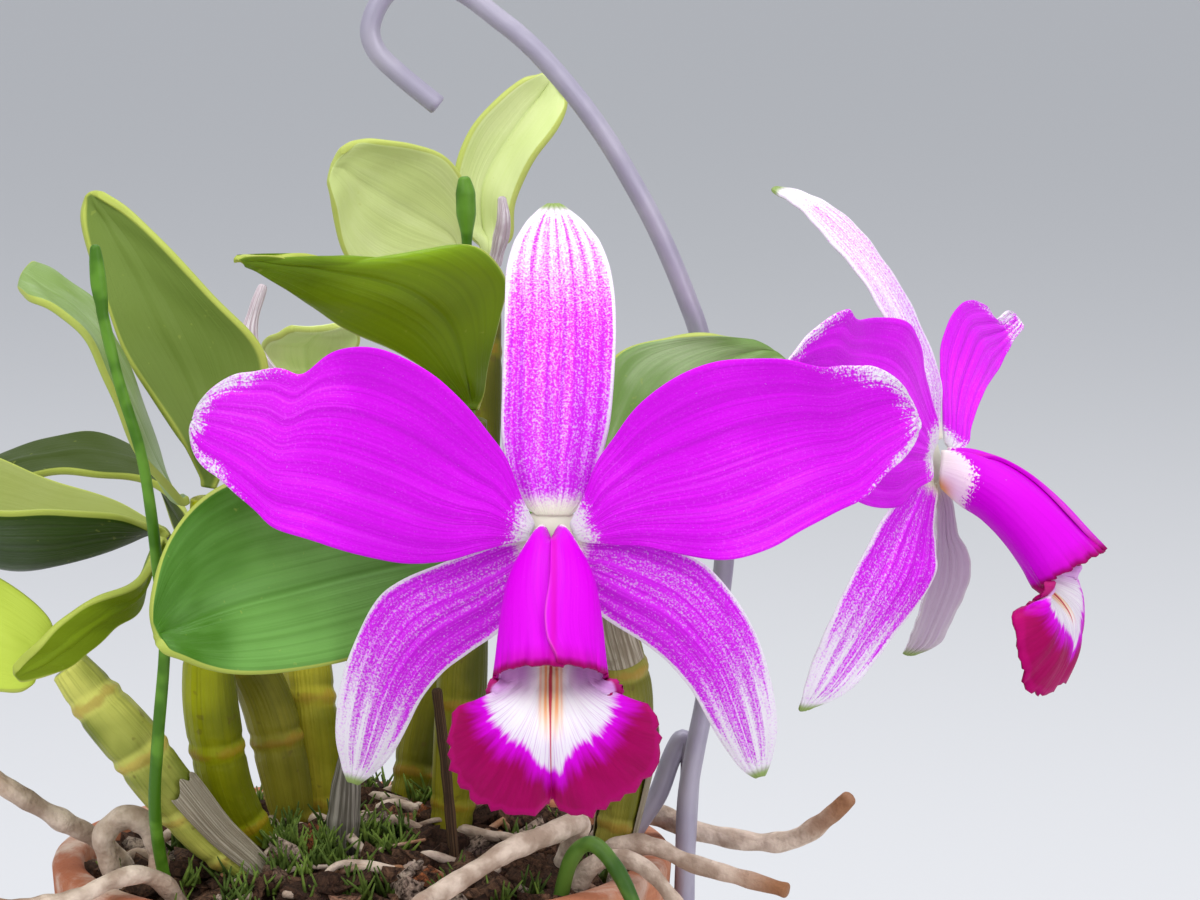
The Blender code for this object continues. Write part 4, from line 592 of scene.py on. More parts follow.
def stamp(bm, **values):
    """Keep a number per vertex, which the materials read."""
    for key, numbers in values.items():
        layer = bm.verts.layers.float.new(key)
        for v, x in zip(bm.verts, numbers):
            v[layer] = float(x)


def sheet_points(table, v, t, fold):
    """Points of a rib sheet, its half width in mm, and the way out of its face."""
    table = np.asarray(table, float).reshape(-1, 3, 3)
    ribs = smooth(table, t)
    left, mid, right = ribs[:, 0], ribs[:, 1], ribs[:, 2]
    x = v[:, None]
    points = mid + x * (right - left) / 2 + np.abs(x) ** fold * ((left + right) / 2 - mid)
    step = smooth(table, np.clip(t + 0.01, 0, 1))[:, 1] - smooth(table, np.clip(t - 0.01, 0, 1))[:, 1]
    out = np.cross(right - left, step)
    out /= np.linalg.norm(out, axis=1)[:, None] + 1e-9
    return points, np.linalg.norm(right - left, axis=1) / 2, out


def arc_length(table, t):
    """Millimetres along the midrib from the base at each t, and the whole length."""
    fine = smooth(np.asarray(table, float).reshape(-1, 3, 3), np.linspace(0, 1, 200))[:, 1]
    run = np.concatenate([[0], np.cumsum(np.linalg.norm(np.diff(fine, axis=0), axis=1))])
    return np.interp(t, np.linspace(0, 1, 200), run), run[-1]


def skin(obj, thickness, rim=0, fine=False):
    """Give a sheet its thickness; its other face takes the second material."""
    solid = obj.modifiers.new("Thickness", "SOLIDIFY")
    solid.thickness, solid.offset = thickness, 0.0
    solid.material_offset, solid.material_offset_rim = 1, rim
    if fine:
        even = obj.modifiers.new("Even shading", "WEIGHTED_NORMAL")
        even.weight = 80
        return obj
    soft = obj.modifiers.new("Smooth", "SUBSURF")
    soft.levels = soft.render_levels = 1
    return obj


def rod(path, radii, sides, rows):
    """Tube bmesh along a smooth path in mm, with its points' middles, ways out, radii, turns and lengths."""
    bm, x, t = flat_grid(sides, rows)
    pos = smooth(path, np.linspace(0, 1, rows + 1))
    rad = np.interp(np.linspace(0, 1, rows + 1), np.linspace(0, 1, len(radii)), radii)
    tangent = np.gradient(pos, axis=0)
    tangent /= np.linalg.norm(tangent, axis=1)[:, None] + 1e-9
    side = np.cross(tangent[0], (0.31, 0.87, 0.38))
    frames = []
    for way in tangent:
        side = side - way * np.dot(side, way)
        side /= np.linalg.norm(side)
        frames.append((side, np.cross(way, side)))
    row = np.rint(t * rows).astype(int)
    turn = np.pi * x
    a = np.array([f[0] for f in frames])[row]
    b = np.array([f[1] for f in frames])[row]
    around = np.cos(turn)[:, None] * a + np.sin(turn)[:, None] * b
    run = np.concatenate([[0], np.cumsum(np.linalg.norm(np.diff(pos, axis=0), axis=1))])[row]
    return bm, pos[row], around, rad[row], turn, t, run


def close_rod(bm):
    """Join a rod's seam and round off both of its open ends."""
    bmesh.ops.remove_doubles(bm, verts=bm.verts, dist=1e-6)
    holes = bmesh.ops.holes_fill(bm, edges=[e for e in bm.edges if e.is_boundary], sides=0)["faces"]
    bmesh.ops.inset_region(bm, faces=holes, thickness=0.0004, depth=0.0003, use_even_offset=True)
    bmesh.ops.triangulate(bm, faces=[f for f in bm.faces if len(f.verts) > 4])


# ---------------------------------------------------------------- materials

# Nodes that are used often: type, the inputs in order, the output, and settings. The last
# ones read numbers that stamp keeps on a piece's vertices, millimetres for the most part.
RECIPES = {
    "blend": ("Mix", (0, 6, 7), 2, {"data_type": "RGBA"}),
    "fade": ("MapRange", ("Value", "From Min", "From Max", "To Min", "To Max"), 0,
             {"interpolation_type": "SMOOTHSTEP"}),
    "noise": ("TexNoise", ("Vector", "Scale", "Detail", "Roughness", "Distortion"), 0, {}),
    "place": ("TexCoord", (), "Object", {}),
    "vector": ("CombineXYZ", (0, 1, 2), 0, {}),
    "bump": ("Bump", ("Height", "Distance", "Strength"), 0, {}),
    **{work.lower(): ("Math", (0, 1, 2), 0, {"operation": work}) for work in (
        "ADD", "SUBTRACT", "MULTIPLY", "MULTIPLY_ADD", "POWER", "MAXIMUM", "SQRT", "COSINE", "ABSOLUTE", "ARCTAN2")},
    **{key: ("Attribute", (), "Fac", {"attribute_name": key}) for key in (
        "edge", "tip", "base", "mid", "ring", "chip", "s", "h", "lobe", "run", "roof", "flap")},
}


def node(tree, kind, *values, named=None, out=0, **settings):
    """Add a shader node, by its type or a recipe's name, and give one of its outputs.

    Inputs are numbers, colours or sockets, in the recipe's order or named.
    """
    kind, keys, out, fixed = RECIPES.get(kind, (kind, (), out, {}))
    made = tree.nodes.new("ShaderNode" + kind)
    for key, value in {**fixed, **settings}.items():
        setattr(made, key, value)
    for key, value in {**dict(zip(keys, values)), **(named or {})}.items():
        socket = made.inputs[key]
        if isinstance(value, bpy.types.NodeSocket):
            tree.links.new(value, socket)
        else:
            socket.default_value = rgba(value) if socket.type == "RGBA" else value
    return made.outputs[out] if made.outputs else made


def start_material(name):
    """An empty node material, with its tree."""
    material = bpy.data.materials.new(name)
    material.use_nodes = True
    material.node_tree.nodes.clear()
    return material, material.node_tree


def finish_material(tree, colour, roughness, height=None, depth=0.0, **surface):
    """Join colour, roughness and relief to one Principled surface; depth is in metres."""
    inputs = {"Base Color": colour, "Roughness": roughness}
    if height is not None:
        inputs["Normal"] = node(tree, "bump", height, depth, 1.0)
    for key, value in surface.items():
        inputs[key.replace("_", " ")] = value
    bsdf = node(tree, "BsdfPrincipled", named=inputs)
    node(tree, "OutputMaterial", named={"Surface": bsdf})


def across_along(tree):
    """How far across and along its piece a point lies, each from 0 to 1."""
    uv = node(tree, "UVMap", uv_map="UVMap")
    u = node(tree, "SeparateXYZ", named={0: uv})
    return u, u.node.outputs["Y"]


def streaks(tree, lines, cells, detail=3.0, rough=0.6, seed=0.0):
    """Noise drawn out along a piece: lines across its width, cells along its length."""
    u, w = across_along(tree)
    place = node(tree, "vector", node(tree, "multiply", u, lines), node(tree, "multiply", w, cells), seed)
    return node(tree, "noise", place, 1.0, detail, rough)


def speckle(tree, size_mm, detail=2.0):
    """Noise in space with spots of about size_mm."""
    return node(tree, "noise", node(tree, "place"), 0.5 / (size_mm * MM), detail)


def cover(tree, share, grain, soft=0.05):
    """Where grain lets a pigment of this share show, as small spots."""
    limit = node(tree, "multiply_add", share, -0.5, 0.75)
    return node(tree, "fade", node(tree, "subtract", grain, limit), -soft, soft)


def petal_tissue(look, name, deep=0.0):
    """Petal tissue, a soft pigmented skin of tiny raised cells, with its velvety sparkle painted in as lighter magenta
    specks.
    """
    material, t = start_material(name)
    edge, tip, base = node(t, "edge"), node(t, "tip"), node(t, "base")
    veins = streaks(t, 44.0, 1.8, detail=3.0)
    folds_and_shading = streaks(t, 13.0, 0.7, detail=2.0, seed=4.0)
    cloud = speckle(t, 16.0)
    grain = speckle(t, 0.18)
    hue = node(t, "blend", node(t, "fade", veins, 0.42, 0.60, 0.0, 0.55), look.petal, look.vein)
    hue = node(t, "blend", node(t, "fade", cloud, 0.36, 0.54, 0.6, 0.0), hue, look.vein)
    hue = node(t, "blend", node(t, "fade", cloud, 0.46, 0.66, 0.0, 0.5), hue, "E42CF0")
    # painted shade and light of folds: darker magenta in the valleys of broad streaks along the petal, lighter magenta
    # on their ridges
    hue = node(t, "blend", node(t, "fade", folds_and_shading, 0.36, 0.5, 0.75, 0.0), hue, "C004D0")
    hue = node(t, "blend", node(t, "fade", folds_and_shading, 0.50, 0.72, 0.0, 0.2), hue, "EE40FA")
    hue = node(t, "blend", node(t, "multiply", node(t, "fade", veins, 0.34, 0.5, 0.2, 0.0),
                                node(t, "fade", cloud, 0.44, 0.6)), hue, "F66CFF")
    # painted glints: lighter magenta specks that stand for the sparkle of the tiny cells
    hue = node(t, "blend", node(t, "multiply", node(t, "fade", grain, 0.52, 0.7),
                                node(t, "fade", cloud, 0.42, 0.6, 0.1, 0.3)), hue, "F25CFF")
    if deep:
        hue = node(t, "blend", deep, hue, look.vein)
    # a white frost at the outer end only: a rim that widens there, ragged along the veins
    near = node(t, "fade", tip, 2.0, 21.0, 1.0, 0.0)
    rays = node(t, "add", streaks(t, 34.0, 1.6, detail=2.0, seed=11.0), node(t, "multiply", speckle(t, 1.6), 0.8))
    rim = node(t, "multiply_add", near, node(t, "multiply_add", rays, -6.0, 5.4), edge)
    share = node(t, "fade", rim, 0.05, node(t, "multiply_add", near, 4.2, 0.4), node(t, "subtract", 1.25, near), 1.25)
    share = node(t, "multiply", share, node(t, "fade", base, 0.3, node(t, "multiply_add", rays, 8.0, -1.5)))
    colour = node(t, "blend", cover(t, share, grain, 0.2), look.pale, hue)
    relief = node(t, "multiply_add", veins, 0.9, node(t, "multiply", grain, 0.25))
    finish_material(t, colour, 0.55, relief, 0.00025, Sheen_Weight=0.03, Specular_IOR_Level=0.12)
    return material


def sepal_tissue(look, name, stripes, lines, bare_tip, full, back=False):
    """Sepal tissue, white under a magenta pigment that lies as dots along the veins."""
    material, t = start_material(name)
    edge, tip, base = node(t, "edge"), node(t, "tip"), node(t, "base")
    u, _ = across_along(t)
    drawn = node(t, "subtract", streaks(t, 26.0, 1.7, seed=2.0), 0.5)
    long = node(t, "subtract", streaks(t, 11.0, 0.9, seed=14.0), 0.5)
    grain = speckle(t, 0.16)
    wave = node(t, "cosine", node(t, "multiply", node(t, "subtract", u, 0.5), 2 * math.pi * 8.0))
    share = node(t, "fade", tip, bare_tip * 0.7, bare_tip * 7.0, 0.3, full)
    share = node(t, "multiply_add", wave, node(t, "fade", tip, bare_tip, bare_tip * 5.5, stripes, stripes * 0.22),
                 share)
    share = node(t, "multiply_add", drawn, node(t, "fade", tip, bare_tip, bare_tip * 5.0, 2.2, 0.8), share)
    share = node(t, "multiply_add", long, node(t, "fade", tip, bare_tip, bare_tip * 6.0, lines, lines * 0.3), share)
    # bare margin, wider toward the tip, with a ragged inner edge
    margin = node(t, "multiply_add", node(t, "fade", tip, 2.0, 26.0, 1.0, 0.0), -0.75, edge)
    share = node(t, "multiply", share, node(t, "fade", node(t, "multiply_add", drawn, 1.6, margin), 0.25, 0.75))
    share = node(t, "multiply", share, node(t, "fade", node(t, "multiply_add", drawn, 5.0, base), 0.3, 5.0))
    share = node(t, "multiply", share,
                 node(t, "fade", node(t, "multiply_add", drawn, 8.0, tip), bare_tip * 0.6, bare_tip))
    if back:
        colour = node(t, "blend", node(t, "multiply_add", share, 0.5, 0.2), "CDC2C8", "A878AE")
    else:
        pigment = node(t, "blend", node(t, "fade", drawn, -0.12, 0.12), "DA24EE", "C410D8")
        colour = node(t, "blend", cover(t, share, grain, 0.28), look.pale, pigment)
    colour = node(t, "blend", node(t, "fade", base, 0.4, 4.2, 0.8, 0.0), colour, "E3E4C2")
    colour = node(t, "blend", node(t, "fade", tip, 0.7, 5.0 if back else 2.4, 0.9, 0.0), colour, "7E9A2E")
    relief = node(t, "multiply_add", drawn, 0.8, node(t, "multiply", grain, 0.2))
    finish_material(t, colour, 0.5, relief, 0.0002, Sheen_Weight=0.03, Specular_IOR_Level=0.15)
    return material


def lip_inner_tissue(look):
    """Inner face of the lip: a white fan with yellow veins on a velvety crimson lobe."""
    material, t = start_material("lip_inner_tissue")
    s, h = node(t, "s"), node(t, "h")
    drop = node(t, "subtract", -17.5, h)
    turn = node(t, "arctan2", s, node(t, "maximum", drop, 0.01))
    reach = node(t, "sqrt", node(t, "multiply_add", s, s, node(t, "multiply", drop, drop)))
    fan = node(t, "vector", node(t, "multiply", turn, 13.0), node(t, "multiply", reach, 0.1), 7.0)
    ray = node(t, "noise", fan, 1.0, 2.5, 0.6)
    fan = node(t, "vector", node(t, "multiply", turn, 40.0), node(t, "multiply", reach, 0.1), 3.0)
    fine = node(t, "noise", fan, 1.0, 2.0)
    span = node(t, "absolute", turn)
    # the fan reaches 13 mm down the middle and 11 mm to the sides, with a starry edge
    limit = node(t, "subtract", node(t, "fade", span, 0.0, 0.4, 13.8, 10.5), node(t, "fade", span, 0.9, 1.4, 0.0, 0.6))
    limit = node(t, "multiply_add", node(t, "subtract", ray, 0.5), 4.4, limit)
    past = node(t, "subtract", reach, limit)
    folds_and_shading = speckle(t, 5.0)
    dark = node(t, "blend", node(t, "fade", ray, 0.38, 0.62, 0.0, 0.5), look.lobe, "A8005E")
    dark = node(t, "blend", node(t, "fade", fine, 0.48, 0.7, 0.0, 0.22), dark, "7C0044")
    # painted fold shading: a lighter crimson where the fold relief rises, the base crimson in its hollows
    dark = node(t, "blend", node(t, "fade", folds_and_shading, 0.45, 0.65, 0.0, 0.5), dark, "A60060")
    ring = node(t, "blend", node(t, "fade", node(t, "multiply_add", ray, -1.6, past), -0.8, 3.8), "D000D6", dark)
    # painted light: the white is brightest close to the mouth, lifting the shade under the hood, and greyer farther
    # out
    white = node(t, "blend", node(t, "fade", reach, 5.0, 11.0), "FFFBFE", "E2D9E4")
    white = node(t, "blend", node(t, "multiply", node(t, "fade", fine, 0.5, 0.6),
                                  node(t, "fade", reach, 4.0, 12.0, 0.1, 0.5)), white, "BE70C8")
    corner = node(t, "multiply", node(t, "fade", node(t, "absolute", s), 1.6, 4.5),
                  node(t, "fade", drop, 0.4, 4.4, 0.85, 0.0))
    white = node(t, "blend", corner, white, "CC7AD2")
    gold = node(t, "multiply", node(t, "fade", node(t, "absolute", s), 0.7, 2.5, 1.0, 0.0),
                node(t, "fade", reach, 3.5, 10.0, 1.0, 0.0))
    white = node(t, "blend", gold, white, "FFE9C0")
    lines = node(t, "cosine", node(t, "multiply", s, 2 * math.pi / 0.8))
    white = node(t, "blend", node(t, "multiply", gold, node(t, "fade", lines, -0.9, 0.9, 0.1, 0.8)), white, "FF9850")
    colour = node(t, "blend", node(t, "fade", past, -0.8, 0.7), white, ring)
    middle = node(t, "fade", node(t, "absolute", s), 0.13, 0.34, 0.85, 0.0)
    colour = node(t, "blend", node(t, "multiply", middle, node(t, "fade", reach, 13.0, 17.0, 1.0, 0.3)), colour,
                  "C8104E")
    colour = node(t, "blend", node(t, "fade", node(t, "edge"), 0.8, 1.5, 0.95, 0.0), colour, "A80062")
    roof = node(t, "fade", node(t, "roof"), 0.25, 0.5)
    colour = node(t, "blend", roof, colour, "A4008C")
    relief = node(t, "multiply_add", fine, 0.3, node(t, "multiply", folds_and_shading, 2.0))
    finish_material(t, colour, 0.5, relief, 0.0003, Specular_IOR_Level=0.06)
    return material


def lip_outer_tissue(look):
    """Outer face of the lip: white at the stalk, then solid magenta, then a crimson edge."""
    material, t = start_material("lip_outer_tissue")
    run, g, roof, s = node(t, "run"), node(t, "lobe"), node(t, "roof"), node(t, "s")
    grain = speckle(t, 0.2)
    lines = streaks(t, 50.0, 1.2, seed=5.0)
    along = node(t, "multiply_add", node(t, "power", roof, 8.0), 0.42, run)
    share = node(t, "multiply_add", node(t, "fade", along, 0.2, 0.46), 1.5,
                 node(t, "multiply", node(t, "subtract", lines, 0.5), 0.9))
    tube = node(t, "blend", node(t, "fade", lines, 0.45, 0.68, 0.0, 0.3), look.tube, "B000B6")
    seam = node(t, "multiply", node(t, "fade", node(t, "absolute", node(t, "add", s, -0.4)), 0.0, 0.9, 0.5, 0.0),
                node(t, "fade", roof, 0.8, 0.95))
    tube = node(t, "blend", seam, tube, "BE0086")
    tube = node(t, "blend", node(t, "multiply", node(t, "fade", node(t, "flap"), 0.1, 0.45, 0.5, 0.0),
                                 node(t, "fade", run, 0.55, 0.8)), tube, "E05ABE")
    colour = node(t, "blend", cover(t, node(t, "subtract", share, 0.2), grain, 0.13), "EFE6E2", tube)
    under = node(t, "fade", roof, 0.15, 0.55, 0.95, 0.0)
    colour = node(t, "blend", node(t, "multiply", under, node(t, "fade", run, 0.03, 0.26, 1.0, 0.0)), colour, "E0A458")
    colour = node(t, "blend", node(t, "multiply", node(t, "fade", run, 0.9, 0.99, 0.0, 0.6),
                                   node(t, "fade", roof, 0.5, 0.9, 0.5, 1.0)), colour, "A80080")
    colour = node(t, "blend", node(t, "fade", run, 0.965, 1.0, 0.0, 0.9), colour, "94004E")
    colour = node(t, "blend", node(t, "fade", g, 0.0, 0.12), colour, "9C0058")
    relief = node(t, "multiply_add", lines, 1.0, node(t, "multiply", grain, 0.2))
    finish_material(t, colour, 0.5, relief, 0.0001, Specular_IOR_Level=0.07)
    return material


def waxy_tissue(name, code, other, start=None):
    """Column and flower stalk, a smooth waxy tissue with faint flecks."""
    material, t = start_material(name)
    tone = speckle(t, 3.0)
    colour = node(t, "blend", node(t, "fade", tone, 0.4, 0.62), code, other)
    if start:
        colour = node(t, "blend", node(t, "fade", node(t, "edge"), 1.5, 6.0), start, colour)
    finish_material(t, colour, 0.42, speckle(t, 0.5), 0.00006, Specular_IOR_Level=0.25)
    return material


def leaf_cuticle(look, name, base_green, lit, rim_mm, gloss, vein=0.3):
    """Leaf cuticle, a leathery wax skin over lengthwise fibres, glossy above and dull below."""
    material, t = start_material(name)
    edge, mid = node(t, "edge"), node(t, "mid")
    fibres = streaks(t, 34.0, 0.8, detail=2.0, seed=1.0)
    cloud = speckle(t, 20.0, detail=3.0)
    patch = streaks(t, 5.0, 2.4, detail=3.0, seed=8.0)
    # painted light in part: blotches of the lit green over the base green, standing partly for the leaf's mottling and
    # partly for sheen
    colour = node(t, "blend", node(t, "fade", cloud, 0.40, 0.60), base_green, lit)
    colour = node(t, "blend", node(t, "fade", patch, 0.45, 0.7, 0.0, 0.4), colour, lit)
    colour = node(t, "blend", node(t, "fade", fibres, 0.42, 0.68, 0.0, vein), colour, base_green)
    colour = node(t, "blend", node(t, "fade", mid, 0.0, 0.9, 0.45, 0.0), colour, base_green)
    pit = node(t, "fade", speckle(t, 0.8), 0.7, 0.76, 0.0, 0.22)
    colour = node(t, "blend", pit, colour, look.rim)
    colour = node(t, "blend", node(t, "fade", edge, rim_mm * 0.4, rim_mm * 1.1, 0.85, 0.0), colour, look.rim)
    rough = node(t, "fade", speckle(t, 6.0), 0.35, 0.7, gloss, gloss + 0.16)
    relief = node(t, "multiply_add", fibres, 0.6, node(t, "multiply", speckle(t, 0.7), 0.25))
    finish_material(t, colour, rough, relief, 0.00018, Specular_IOR_Level=0.22)
    return material


def cane_skin(name, shaded, lit):
    """Cane skin, a firm waxy stem with a painted highlight on the side that faces the key light and painted shade on
    the far side, with ring scars and long wrinkles.
    """
    material, t = start_material(name)
    ring = node(t, "ring")
    fibres = streaks(t, 26.0, 1.4, seed=6.0)
    # painted light and shade: the lit colour where the skin faces the key light, the shaded colour where it faces
    # away, with a noisy border
    lit_side = node(t, "multiply_add", node(t, "subtract", speckle(t, 9.0, detail=3.0), 0.5), 2.6, node(t, "mid"))
    colour = node(t, "blend", node(t, "fade", lit_side, -0.5, 0.95), shaded, lit)
    colour = node(t, "blend", node(t, "fade", fibres, 0.45, 0.68, 0.0, 0.4), colour, shaded)
    blot = node(t, "add", ring, node(t, "multiply", node(t, "subtract", speckle(t, 1.6), 0.5), 3.0))
    colour = node(t, "blend", node(t, "fade", blot, 0.1, 1.1, 0.85, 0.0), colour, "96601C")
    colour = node(t, "blend", node(t, "fade", ring, 1.1, 2.1, 0.4, 0.0), colour, lit)
    colour = node(t, "blend", node(t, "fade", speckle(t, 1.3), 0.66, 0.72, 0.0, 0.4), colour, "5B4520")
    relief = node(t, "multiply_add", fibres, 1.0, node(t, "multiply", speckle(t, 0.6), 0.3))
    finish_material(t, colour, 0.42, relief, 0.0004, Specular_IOR_Level=0.2)
    return material


def dried_sheath(name, code, dark):
    """Dried sheath, papery fibres that split along their length."""
    material, t = start_material(name)
    fibres = streaks(t, 30.0, 1.0, detail=4.0, seed=9.0)
    colour = node(t, "blend", node(t, "fade", fibres, 0.38, 0.64), dark, code)
    colour = node(t, "blend", node(t, "fade", speckle(t, 2.4), 0.55, 0.68, 0.0, 0.5), colour, dark)
    finish_material(t, colour, 0.8, fibres, 0.0006, Specular_IOR_Level=0.2)
    return material


def velamen(name, code, dark, end):
    """Velamen, the spongy grey-white coat of an air root, brown and worn at its tip."""
    material, t = start_material(name)
    _, w = across_along(t)
    tone = speckle(t, 2.6, detail=4.0)
    colour = node(t, "blend", node(t, "fade", tone, 0.36, 0.64), dark, code)
    colour = node(t, "blend", node(t, "fade", streaks(t, 5.0, 9.0, seed=3.0), 0.5, 0.68, 0.0, 0.5), colour, dark)
    colour = node(t, "blend", node(t, "fade", w, 0.72, 0.97, 0.0, 0.85), colour, end)
    relief = node(t, "multiply_add", speckle(t, 0.9, detail=4.0), 1.0, tone)
    finish_material(t, colour, 0.85, relief, 0.0007, Specular_IOR_Level=0.2)
    return material


def fir_bark(name, look):
    """Fir bark, rough layered cork in browns, grey where it has weathered."""
    material, t = start_material(name)
    own = node(t, "chip")
    layers = node(t, "noise", node(t, "place"), 900.0, 4.0, 0.65, 0.8)
    colour = node(t, "blend", node(t, "fade", own, 0.0, 1.0), "4A3428", look.bark)
    colour = node(t, "blend", node(t, "fade", own, 0.86, 0.9), colour, "B9A594")
    colour = node(t, "blend", node(t, "fade", own, 0.955, 0.965), colour, "A8633C")
    colour = node(t, "blend", node(t, "fade", layers, 0.34, 0.66), "2E211B", colour)
    finish_material(t, colour, 0.9, layers, 0.001, Specular_IOR_Level=0.15)
    return material


def green_moss():
    """Moss, thin soft shoots with a dull, slightly wet skin."""
    material, t = start_material("green_moss")
    colour = node(t, "blend", node(t, "fade", node(t, "chip"), 0.0, 1.0), "35461A", "6F8636")
    colour = node(t, "blend", node(t, "fade", speckle(t, 1.2), 0.4, 0.65), colour, "4A5E24")
    finish_material(t, colour, 0.65, speckle(t, 0.4), 0.0002, Specular_IOR_Level=0.15)
    return material


def fired_clay(look):
    """Fired clay, thrown and unglazed: chalky, with turning rings, pale salts and damp below."""
    material, t = start_material("fired_clay")
    place = node(t, "place")
    height = node(t, "SeparateXYZ", named={0: place}, out="Z")
    rings = node(t, "noise", node(t, "vector", 0.0, 0.0, height), 620.0, 3.0)
    salt = node(t, "noise", place, 42.0, 6.0, 0.62, 0.6)
    grit = speckle(t, 0.5, detail=3.0)
    colour = node(t, "blend", node(t, "fade", speckle(t, 30.0), 0.35, 0.65), look.clay, "AC6A4A")
    colour = node(t, "blend", node(t, "fade", rings, 0.4, 0.66, 0.0, 0.3), colour, "9A4E35")
    colour = node(t, "blend", node(t, "fade", salt, 0.46, 0.64, 0.0, 0.75), colour, "DCCBBB")
    colour = node(t, "blend", node(t, "multiply", node(t, "fade", height, 0.0, 0.03, 0.45, 0.0),
                                   node(t, "fade", salt, 0.35, 0.55)), colour, "6E3D2A")
    colour = node(t, "blend", node(t, "fade", grit, 0.6, 0.72, 0.0, 0.35), colour, "7F412C")
    relief = node(t, "multiply_add", rings, 0.8, node(t, "multiply", grit, 0.4))
    finish_material(t, colour, 0.88, relief, 0.0004, Specular_IOR_Level=0.25)
    return material


def zinc_wire(look):
    """Galvanised steel wire, drawn and dulled, with faint scratches along it."""
    material, t = start_material("zinc_wire")
    scratch = streaks(t, 14.0, 60.0, detail=4.0)
    cloud = speckle(t, 5.0, detail=3.0)
    colour = node(t, "blend", node(t, "fade", cloud, 0.38, 0.64), look.wire, "A29CAE")
    finish_material(t, colour, node(t, "fade", scratch, 0.35, 0.7, 0.42, 0.6), scratch, 0.00005, Metallic=0.3)
    return material


# ---------------------------------------------------------------- blooms

class Bloom:
    """Axes of one bloom: right, up and out of its face."""

    def __init__(self, centre, turn, nod, size):
        y, n = math.radians(turn), math.radians(nod)
        self.centre, self.size = np.array(centre), size
        self.right = np.array([math.cos(y), math.sin(y), 0.0])
        self.out = np.array([math.sin(y) * math.cos(n), -math.cos(y) * math.cos(n), -math.sin(n)])
        self.up = np.cross(self.right, -self.out)
        self.up = self.up if self.up[2] > 0 else -self.up

    def place(self, pts):
        p = np.asarray(pts, float) * self.size
        return self.centre + p[..., :1] * self.right + p[..., 1:2] * self.up + p[..., 2:3] * self.out


def tepal(label, part, bloom, table, looks, look, wave, slot, flip=False):
    """One sepal or petal as a gently waved sheet."""
    own = label == "flower_2" and part in BLOOM_2_ROWS
    table = BLOOM_2_ROWS[part] if own else table
    bm, v, t = flat_grid(*TEPAL_GRID)
    blunt = part.startswith("petal") and not own
    if blunt:
        # the last 1.5 mm, a corner in the outline, gives way to a round end
        t = (1 - (1 - t) ** 1.3) * 0.972
    points, half, out = sheet_points(table, v, t, 2.0)
    if blunt:
        run = arc_length(table, t)[0]
        left = run.max() - run + 0.02
        bow = np.minimum(left, PETAL_END)
        arc = np.sqrt(bow * (2 * PETAL_END + 0.1 - bow)) / half
        swell = np.where(left < 1.0, arc, 1 + np.maximum(arc - 1, 0) * (1 - ease(left, 5.0, PETAL_END)))
        middle = sheet_points(table, v * 0, t, 2.0)[0]
        points = middle + (points - middle) * swell[:, None]
        half = half * swell
    # broader feet, so that sepals and petals meet round the hub
    run, whole = arc_length(table, t)
    foot = 1 + 0.32 * np.exp(-(run / 6.0) ** 2)
    middle = sheet_points(table, v * 0, t, 2.0)[0]
    points = middle + (points - middle) * foot[:, None]
    if not own:
        points, out = bloom.place(points), bloom.place(out) - bloom.place(np.zeros(3))
        out /= np.linalg.norm(out, axis=1)[:, None]
        half = half * bloom.size
    whole = run.max() if blunt else whole
    side = (1 - np.abs(v)) * half
    ends = ease(t, 0, 0.15) * ease(1 - t, 0, 0.08)
    seed = sum(ord(c) for c in label + part)
    ripple = wave * v * v * np.sin(t * 19.0 + 2.0 * v) + 0.16 * np.sin(v * 17.0 + seed) * (1 - v * v)
    frill = 0.12 * np.abs(v) ** 6 * np.sin(t * 61.0 + seed + 3 * v)
    keel = -0.5 * np.exp(-(v / 0.05) ** 2) * (1 - t)
    points = points + out * ((ripple + frill + keel) * ends)[:, None]
    put(bm, points)
    stamp(bm, edge=np.minimum(side, whole - run + 0.15), tip=whole - run, base=run)
    if np.mean(out @ bloom.out) * (-1 if flip else 1) < 0:
        bmesh.ops.reverse_faces(bm, faces=bm.faces)
    node_name = label + "_" + part
    obj = finish_piece(node_name + "_skin", bm, looks, slot, node_name)
    return skin(obj, look.tissue)


